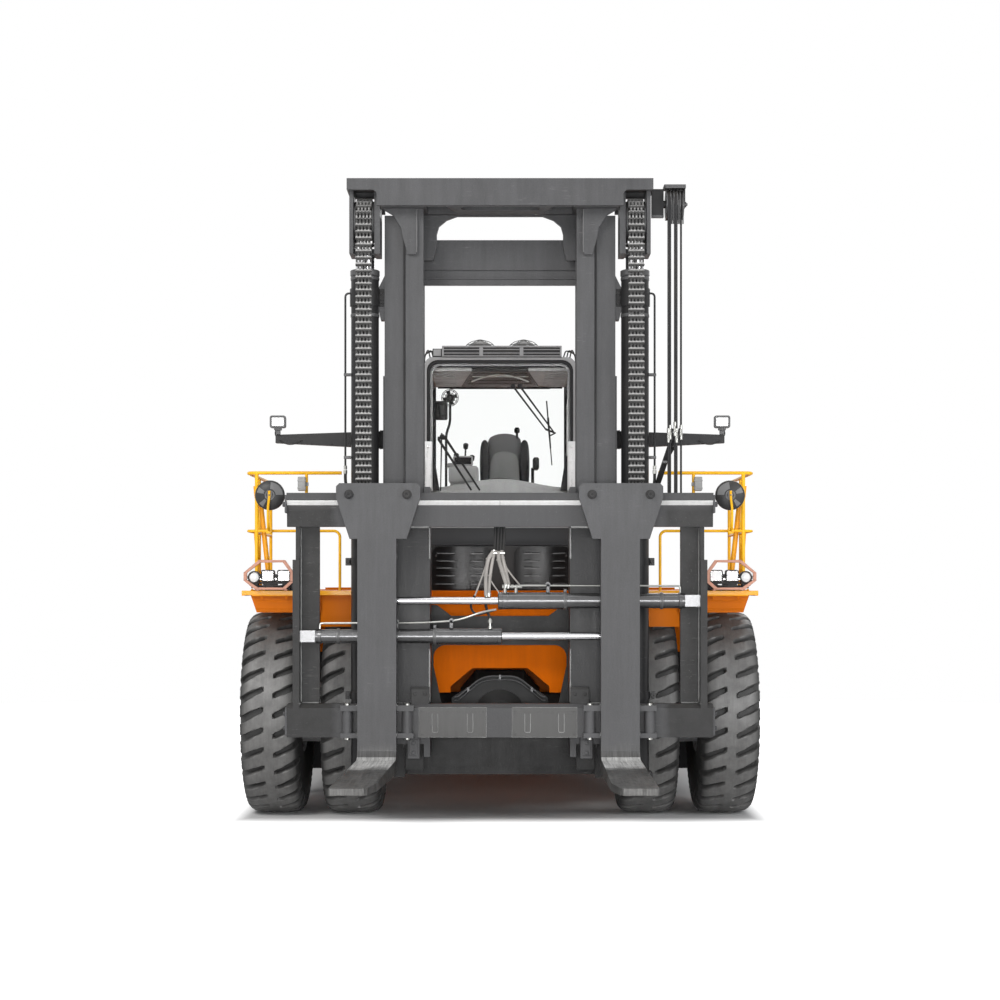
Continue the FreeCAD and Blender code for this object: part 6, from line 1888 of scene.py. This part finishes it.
single(positioner_hoses, "positioner_hoses", hose_rubber, "carriage")
bm = bmesh.new()
for x, z, lean in ((-0.107, 1.835, 0.1), (-0.088, 1.835, 0.1), (0.048, 1.905, -0.25), (0.068, 1.900, -0.2)):
    turned(bm, spot(x, POSITIONER_Y - 0.008, z), (lean, 0, -1),
           [(0, 0.0165), (0.020, 0.0165), (0.022, 0.012), (0.030, 0.012)], 14)
for x in (0.028, 0.062, 0.096, 0.130, 0.158):
    turned(bm, spot(x - 0.011, POSITIONER_Y - 0.004, 1.885), (1, 0, 0), [(0, 0.015), (0.022, 0.015)], 6)
turned(bm, spot(0.02, POSITIONER_Y - 0.004, 1.885), (1, 0, 0), [(0, 0.011), (0.14, 0.011)], 14)
for x in (0.040, 0.125):
    turned(bm, spot(x, POSITIONER_Y, 1.84), (0, 0, 1), [(0, 0.013), (0.04, 0.013)], 6)
turned(bm, spot(-0.077, POSITIONER_Y, 1.556), (0, 0, 1),
       [(0, 0.016), (0.022, 0.016), (0.024, 0.010), (0.045, 0.010), (0.047, 0.016), (0.065, 0.018),
        (0.078, 0.008)], 12)
slab(bm, (-0.070, POSITIONER_Y - 0.022, 2.135), (0.040, POSITIONER_Y + 0.022, 2.152), 0.004)
slab(bm, (-0.055, POSITIONER_Y - 0.020, 2.152), (-0.040, POSITIONER_Y + 0.020, 2.172), 0.003)
piece("positioner_fittings", bm, zinc_steel, "carriage")

# Mast hoses. Five narrow hoses run up over a grooved wheel beside the mast, with
# crimped joints half way up; three more are steel pipe at the top.
HOSE_XS = (1.313, 1.327, 1.364, 1.377, 1.413)
WHEEL_AT = (-1.10, 4.885)
HOSE_SWEEP = 0.115
COLUMN_INNER = 1.395


def sweep_of(x):
    """How far a hose stands out from the wheel's axle: less where the carriage column passes it."""
    return HOSE_SWEEP if x < COLUMN_INNER else 0.096


def hose_run(x, low, behind, sweep):
    y, z = WHEEL_AT
    run = [spot(x, y - sweep, low)]
    for i in range(13):
        turn = math.pi * i / 12
        run.append(spot(x, y - sweep * math.cos(turn), z + 0.100 * math.sin(turn)))
    return run + [spot(x, y + sweep, behind)]


bm = bmesh.new()
for x in HOSE_XS:
    pipe(bm, hose_run(x, 2.42, 4.78, sweep_of(x)), 0.0082, 0.001, 10, 1)
hoses = piece("mast_hoses_running", bm, hose_rubber, None)
cut = bmesh.new()
cut.from_mesh(hoses.data)
for z in (3.16, 3.5, 3.9, 4.3, 4.7):
    bmesh.ops.bisect_plane(cut, geom=cut.verts[:] + cut.edges[:] + cut.faces[:],
                           plane_co=(0, 0, z), plane_no=(0, 0, 1))
cut.to_mesh(hoses.data)
cut.free()
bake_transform(hoses)
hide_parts("mast_hoses")
bm = bmesh.new()
for x in (1.340, 1.352, 1.391, 1.402, 1.427):
    pipe(bm, hose_run(x, 4.712, 4.78, HOSE_SWEEP), 0.0052, 0.001, 8, 1)
piece("mast_hose_pipes", bm, pipe_steel, "inner_mast")
bm = bmesh.new()
y, z = WHEEL_AT
for x in (1.3035, 1.333, 1.358, 1.384, 1.4075, 1.4345):
    band(bm, spot(x, y, z), (1, 0, 0), [(-0.003, 0.06), (-0.003, 0.119), (0.003, 0.119), (0.003, 0.06)], 48)
for i in range(6):
    x = 1.296 + i * 0.029
    bolt(bm, spot(x, -1.200, 5.010), (0, -1, 0), 0.013, 0.006)
slab(bm, (1.29, -1.2035, 4.995), (1.448, -1.1995, 5.024), 0.001)
turned(bm, spot(1.450, y, z), (1, 0, 0), [(0, 0.022), (0.012, 0.022), (0.014, 0.012), (0.022, 0.010)], 16)
slab(bm, (1.1895, -1.1385, 4.776), (1.2835, -1.1345, 4.796), 0.001)
for x in (1.207, 1.266):
    bolt(bm, spot(x, -1.1385, 4.786), (0, -1, 0), 0.014, 0.007)
piece("hose_wheel_flanges", bm, gland_steel, "inner_mast")


def hose_joints(bm):
    for i, x in enumerate(HOSE_XS):
        z = 3.06 + 0.025 * (i % 3)
        here = spot(x, WHEEL_AT[0] - sweep_of(x), z)
        turned(bm, here, (0, 0, 1),
               [(-0.055, 0.0095), (-0.052, 0.012), (-0.020, 0.012), (-0.018, 0.009)], 14)
        turned(bm, here, (0, 0, 1), [(-0.018, 0.013), (0.004, 0.013)], 6)
        turned(bm, here, (0, 0, 1), [(0.006, 0.0115), (0.026, 0.0115)], 6)
        turned(bm, here, (0, 0, 1), [(0.026, 0.009), (0.028, 0.012), (0.058, 0.012), (0.060, 0.0095)], 14)


single(hose_joints, "mast_hose_joints", zinc_steel, "outer_mast")
bm = bmesh.new()
for i in range(3):
    y = WHEEL_AT[0] - HOSE_SWEEP + 0.022
    pipe(bm, [spot(1.405 - 0.03 * i, y, 3.12), spot(1.39 - 0.03 * i, y + 0.01, 3.02),
              spot(1.315 - 0.012 * i, y + 0.03, 2.90), spot(1.262 - 0.014 * i, y + 0.09, 2.72),
              spot(1.215, -0.925 + 0.012 * i, 2.58), spot(0.98, -0.90, 2.50 - 0.03 * i)],
         0.0105, 0.08, 10)
piece("mast_hose_branch", bm, hose_rubber, "outer_mast")
bm = bmesh.new()
slab(bm, (1.268, WHEEL_AT[0] - 0.105, 2.845), (1.335, WHEEL_AT[0] - 0.068, 2.868), 0.004)
for x0, y0, x1, y1, chamfer in (
        (1.300, -1.228, 1.392, -1.198, 0.004), (1.190, -1.208, 1.310, -1.195, 0.003),
        (1.190, -1.208, 1.205, -1.050, 0.003), (1.165, -1.066, 1.205, -1.050, 0.003)):
    slab(bm, (x0, y0, 2.500), (x1, y1, 2.530), chamfer)
piece("mast_hose_clamps", bm, gland_steel, "outer_mast")

# Front covers. Two pressed steel sheets below the cab, bowed a little, satin
# black, with rows of louvres pressed out and dark behind their lips.
cover_black = enamel("cover_black", (0.020, 0.020, 0.021), 0.24, 0.25, 0.0, dust=0.05, coat=0.3)
COVERS = ((-0.584, -0.078, ((-0.548, -0.393), (-0.250, -0.147))),
          (0.125, 0.605, ((0.207, 0.345), (0.457, 0.561))))


def bowed(t):
    return 0.478 - 0.022 * (1 - (2 * t - 1) ** 2)


def cover_sheets(bm):
    for x0, x1, columns in COVERS:
        rows = []
        for i in range(19):
            t = i / 18
            x = x0 + (x1 - x0) * t
            inset = max(0.0, 0.05 - min(x - x0, x1 - x))
            top = 2.228 - 0.05 + math.sqrt(max(0.0, 0.05 ** 2 - inset ** 2))
            rows.append([bm.verts.new(spot(x, bowed(t) + 0.001,
                                           1.858 + (top - 1.858) * j / 8)) for j in range(9)])
        faces = [bm.faces.new((rows[i][j], rows[i + 1][j], rows[i + 1][j + 1], rows[i][j + 1]))
                 for i in range(18) for j in range(8)]
        bmesh.ops.solidify(bm, geom=faces, thickness=0.010)
        for low, high in columns:
            t = ((low + high) / 2 - x0) / (x1 - x0)
            for z in (2.169, 2.104, 2.044, 1.977, 1.906):
                y = bowed(t)
                profile_plate(bm, [(y + 0.004, z + 0.012), (y - 0.010, z + 0.002), (y - 0.010, z - 0.004),
                                   (y + 0.004, z - 0.002)], "x", low, high, 0.001)
        for x in (x0 + 0.03, x1 - 0.03):
            for z in (1.90, 2.15):
                bolt(bm, spot(x, bowed((x - x0) / (x1 - x0)), z), (0, -1, 0), 0.016, 0.006)


covers = single(cover_sheets, "front_cover_sheets", cover_black, "chassis", 40)
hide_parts("front_covers")

# Front plate and axle. The cross plate of the frame is a brighter orange, painted light where the mast shades
# it; a cast axle cover stands in its window with two steel brake pipes bent over it.
painted_light_orange = enamel("painted_light_orange", (0.76, 0.150, 0.0), 0.45, 0.25, 0.3, (0.95, 0.5, 0.10), dust=0.0,
                     spec=0.03)
# Painted light: the brighter orange on the front cross plate.
paint_faces("chassis_frame", painted_light_orange, lambda x, y, z: x < 0.75 and y < -0.40 and z < 1.86)
cast_iron = enamel("cast_iron", (0.026, 0.026, 0.0265), 0.45, 0.35, 0.9, (0.16, 0.155, 0.15),
                   dust=0.15, grain=220, bump=0.2)
paint_faces("front_axle", cast_iron, lambda x, y, z: y < -0.30 and x < 0.42)


def axle_pipes(bm):
    for drop, r in ((0.0, 0.0085), (0.030, 0.0060)):
        pipe(bm, [spot(x, -0.462, z - drop) for x, z in
                  ((-0.372, 0.985), (-0.344, 0.985), (-0.170, 1.128), (-0.09, 1.152), (0.11, 1.152),
                   (0.175, 1.125), (0.344, 0.985), (0.372, 0.985))], r, 0.06, 10)
    for x, z in ((-0.26, 1.040), (0.26, 1.040), (0.0, 1.140)):
        slab(bm, (x - 0.012, -0.470, z - 0.016), (x + 0.012, -0.448, z + 0.024), 0.003)


single(axle_pipes, "axle_pipes", gland_steel, "chassis")


PLATE_FACE = -0.458


def plate_bolts(bm, sign):
    for z in (1.10, 1.225):
        bolt(bm, spot(0.560 * sign, PLATE_FACE, z), (0, -1, 0), 0.026, 0.013)
    bolt(bm, spot(0.497 * sign, PLATE_FACE, 1.102), (0, -1, 0), 0.034, 0.018)
    for z in (1.35, 1.60):
        bolt(bm, spot(0.62 * sign, PLATE_FACE, z), (0, -1, 0), 0.022, 0.012)


both(plate_bolts, "front_plate_bolts", zinc_steel, "chassis")


def plate_welds(bm, sign):
    weld(bm, spot(0.612 * sign, -0.455, 1.03), spot(0.612 * sign, -0.455, 1.80), 0.005, 61)


both(plate_welds, "front_plate_welds", weld_paint, "chassis")

# Cab glass. Laminated safety glass, five millimetres thick, bonded into rubber
# seals; the doors have the same.
clear_glass = bpy.data.materials.new("clear_glass")
clear_glass.use_nodes = True
pane = clear_glass.node_tree.nodes["Principled BSDF"]
pane.inputs["Base Color"].default_value = (0.985, 0.992, 0.988, 1)
pane.inputs["Roughness"].default_value = 0.0
pane.inputs["Transmission Weight"].default_value = 1.0
pane.inputs["IOR"].default_value = 1.12
dress(clear_glass, ["cab_glass", "door_glass_left", "door_glass_right"], 0)

# Cab doors. Bonded glass in a steel frame with a rubber seal, two pinned hinges,
# a recessed handle with a push button lock and a pull bar on the inner face.


HINGE_HEIGHTS = (2.52, 3.70)


def door_seals(bm, sign):
    for z0, z1, y0, y1 in ((2.405, 2.425, 1.755, 2.605), (3.795, 3.815, 1.755, 2.605),
                           (2.425, 3.795, 1.755, 1.775), (2.425, 3.795, 2.585, 2.605)):
        side_slab(bm, sign, (0.728, y0, z0), (0.7795, y1, z1), 0.004)


def hinge_barrels(bm, sign):
    for z in HINGE_HEIGHTS:
        turned(bm, spot(0.790 * sign, 2.738, z - 0.06), (0, 0, 1),
               [(0, 0.012), (0.038, 0.012), (0.040, 0.010), (0.080, 0.010), (0.082, 0.012),
                (0.12, 0.012)], 20)


def door_fittings(bm, sign):
    for z in HINGE_HEIGHTS:
        side_slab(bm, sign, (0.777, 2.585, z - 0.045), (0.784, 2.662, z + 0.045), 0.002)
        for y in (2.605, 2.642):
            for h in (-0.025, 0.025):
                bolt(bm, spot(0.784 * sign, y, z + h), (sign, 0, 0), 0.016, 0.006)


def door_handles(bm, sign):
    side_slab(bm, sign, (0.777, 1.700, 2.98), (0.786, 1.748, 3.18), 0.004)
    pipe(bm, [spot(0.784 * sign, 1.724, 3.00), spot(0.815 * sign, 1.724, 3.02),
              spot(0.815 * sign, 1.724, 3.13), spot(0.784 * sign, 1.724, 3.15)], 0.009, 0.02, 12)
    turned(bm, spot(0.786 * sign, 1.724, 3.164), (sign, 0, 0),
           [(0, 0.011), (0.006, 0.011), (0.010, 0.007)], 18)


both(door_seals, "door_seals", seal_rubber, "cab_door_")
both(hinge_barrels, "hinge_barrels", black_enamel, "chassis")
both(door_fittings, "door_hinges", black_enamel, "cab_door_")
both(door_handles, "door_handles", satin_grey, "cab_door_")

# Steps and decks. Treads of pressed steel with rows of raised teeth; the decks
# carry welded grip bars and are bolted down at their edges.
tread_steel = enamel("tread_steel", (0.035, 0.035, 0.036), 0.5, 0.3, 0.9, (0.30, 0.295, 0.29), dust=0.5)


def step_treads(bm, sign):
    for z in (0.59, 0.91, 1.23, 1.55):
        for i in range(12):
            for j in range(6):
                x, y = 1.535 + 0.0355 * i, 1.335 + 0.076 * j
                band(bm, spot(x * sign, y, z), (0, 0, 1),
                     [(-0.001, 0.004), (-0.001, 0.0115), (0.005, 0.0085), (0.005, 0.004)], 8)
        side_slab(bm, sign, (1.955, 1.292, z - 0.034), (1.966, 1.758, z + 0.004), 0.002)


def grip_bars(bm, sign):
    for i in range(14):
        for j in range(4):
            x, y = 1.02 + 0.22 * j, 2.02 + 0.10 * i
            side_slab(bm, sign, (x, y, 1.8495), (x + 0.15, y + 0.014, 1.8545), 0.0015)
    for y in (1.30, 1.85, 2.40, 2.95, 3.38):
        for x in (0.96, 1.955):
            bolt(bm, spot(x * sign, y, 1.850), (0, 0, 1), 0.022, 0.007)


both(step_treads, "step_treads", tread_steel, "chassis")
both(grip_bars, "deck_grips", orange_enamel, "chassis")

# Side boxes. Folded sheet doors with a rolled edge, hung on two hinges and shut
# by two quarter turn latches, with louvres along the lower half.


def box_doors(bm, sign):
    for y0, y1 in ((1.93, 2.60), (2.64, 3.31)):
        side_slab(bm, sign, (1.899, y0, 0.70), (1.912, y1, 1.76), 0.006)
        for z in (0.79, 0.84, 0.89, 0.94, 0.99, 1.04):
            profile_plate(bm, [(1.911 * sign, z + 0.026), (1.922 * sign, z + 0.004), (1.922 * sign, z),
                               (1.911 * sign, z)], "y", y0 + 0.12, y1 - 0.12, 0.001)
        for z in (0.88, 1.58):
            turned(bm, spot(1.918 * sign, y0 + 0.006, z - 0.05), (0, 0, 1), [(0, 0.011), (0.10, 0.011)], 14)


def box_latches(bm, sign):
    for y in (2.55, 3.26):
        for z in (1.15, 1.60):
            turned(bm, spot(1.911 * sign, y, z), (sign, 0, 0),
                   [(0, 0.024), (0.005, 0.024), (0.008, 0.018)], 20)
            side_slab(bm, sign, (1.916, y - 0.004, z - 0.02), (1.926, y + 0.004, z + 0.02), 0.002)


both(box_doors, "side_box_doors", black_enamel, "chassis")
both(box_latches, "side_box_latches", zinc_steel, "chassis")

# Power bay and hood. Side panels with pressed louvres and flush lift handles; the
# lid has a rolled rim, a stiffened centre and a rubber seal below.


def bay_panels(bm, sign):
    for y0, y1 in ((3.52, 4.36), (4.42, 5.26)):
        side_slab(bm, sign, (1.119, y0, 1.85), (1.132, y1, 2.60), 0.006)
        for i in range(7):
            z = 2.14 + 0.052 * i
            profile_plate(bm, [(1.131 * sign, z + 0.028), (1.144 * sign, z + 0.005), (1.144 * sign, z),
                               (1.131 * sign, z)], "y", y0 + 0.13, y1 - 0.13, 0.001)
        for y in (y0 + 0.04, y1 - 0.04):
            for z in (1.89, 2.56):
                bolt(bm, spot(1.132 * sign, y, z), (sign, 0, 0), 0.022, 0.007)


def bay_handles(bm, sign):
    for y in (3.94, 4.84):
        side_slab(bm, sign, (1.131, y - 0.08, 1.94), (1.138, y + 0.08, 2.02), 0.003)
        pipe(bm, [spot(1.136 * sign, y - 0.055, 1.98), spot(1.158 * sign, y - 0.045, 1.98),
                  spot(1.158 * sign, y + 0.045, 1.98), spot(1.136 * sign, y + 0.055, 1.98)],
             0.006, 0.012, 10)


both(bay_panels, "bay_side_panels", orange_enamel, "chassis")
both(bay_handles, "bay_panel_handles", black_enamel, "chassis")


def hood_ribs(bm):
    for x in (-0.72, -0.24, 0.24, 0.72):
        slab(bm, (x - 0.05, 3.60, 2.6865), (x + 0.05, 5.18, 2.6985), 0.005)
    for y in (3.475, 5.265):
        slab(bm, (-1.10, y, 2.6865), (1.10, y + 0.03, 2.694), 0.003)
    for x in (-1.115, 1.095):
        slab(bm, (x, 3.48, 2.6865), (x + 0.02, 5.29, 2.694), 0.003)


single(hood_ribs, "hood_ribs", orange_enamel, "power_hood")
bm = bmesh.new()
for x in (-0.45, 0.45):
    pipe(bm, [spot(x - 0.09, 3.56, 2.686), spot(x - 0.09, 3.56, 2.735), spot(x + 0.09, 3.56, 2.735),
              spot(x + 0.09, 3.56, 2.686)], 0.009, 0.02, 12)
for x in (-0.85, 0.0, 0.85):
    slab(bm, (x - 0.03, 3.430, 2.60), (x + 0.03, 3.441, 2.672), 0.003)
    slab(bm, (x - 0.012, 3.424, 2.615), (x + 0.012, 3.432, 2.690), 0.002)
piece("hood_handles", bm, black_enamel, "power_hood")

# Tail. Round lamps in rubber rings stand on the back of the cast counterweight, and
# a zinc plated draw pin with a bent handle hangs in its jaw.
lamp_red = enamel("lamp_red", (0.50, 0.008, 0.006), 0.12, 0.2, 0.0, dust=0.1, coat=0.8)
lamp_amber = enamel("lamp_amber", (0.80, 0.22, 0.005), 0.12, 0.2, 0.0, dust=0.1, coat=0.8)
TAIL = 6.350  # back of the counterweight
TAIL_LAMPS = ((1.18, 1.80, 0.058), (1.18, 1.65, 0.058), (1.18, 1.50, 0.050))


def tail_lamp(bm, x, z, r):
    band(bm, spot(x, TAIL - 0.002, z), (0, 1, 0),
         [(0, r * 0.9), (0, r + 0.012), (0.010, r + 0.012), (0.014, r + 0.004), (0.012, r * 0.9)], 36)


def tail_lens(bm, x, z, r):
    turned(bm, spot(x, TAIL - 0.001, z), (0, 1, 0),
           [(0, r * 0.97), (0.010, r * 0.95), (0.016, r * 0.75), (0.017, r * 0.70), (0.019, r * 0.4),
            (0.020, r * 0.1)], 36)


for (x, z, r), material, label in zip(TAIL_LAMPS, (lamp_red, lamp_amber, lens_white),
                                      ("tail_lenses", "turn_lenses", "reverse_lenses")):
    bm = bmesh.new()
    tail_lens(bm, x, z, r)
    tail_lens(bm, -x, z, r)
    piece(label, bm, material, "chassis")


def tail_rings(bm, sign):
    for x, z, r in TAIL_LAMPS:
        tail_lamp(bm, x * sign, z, r)
    side_slab(bm, sign, (1.09, TAIL - 0.003, 1.425), (1.27, TAIL + 0.004, 1.885), 0.002)


both(tail_rings, "tail_lamp_rings", seal_rubber, "chassis")
bm = bmesh.new()
turned(bm, spot(0, TAIL - 0.08, 0.86), (0, 0, 1),
       [(0, 0.019), (0.43, 0.019), (0.432, 0.042), (0.45, 0.042)], 24)
pipe(bm, [spot(-0.05, TAIL - 0.08, 1.31), spot(-0.05, TAIL - 0.08, 1.39), spot(0.05, TAIL - 0.08, 1.39),
          spot(0.05, TAIL - 0.08, 1.31)], 0.010, 0.03, 12)
piece("draw_pin", bm, zinc_steel, "chassis")
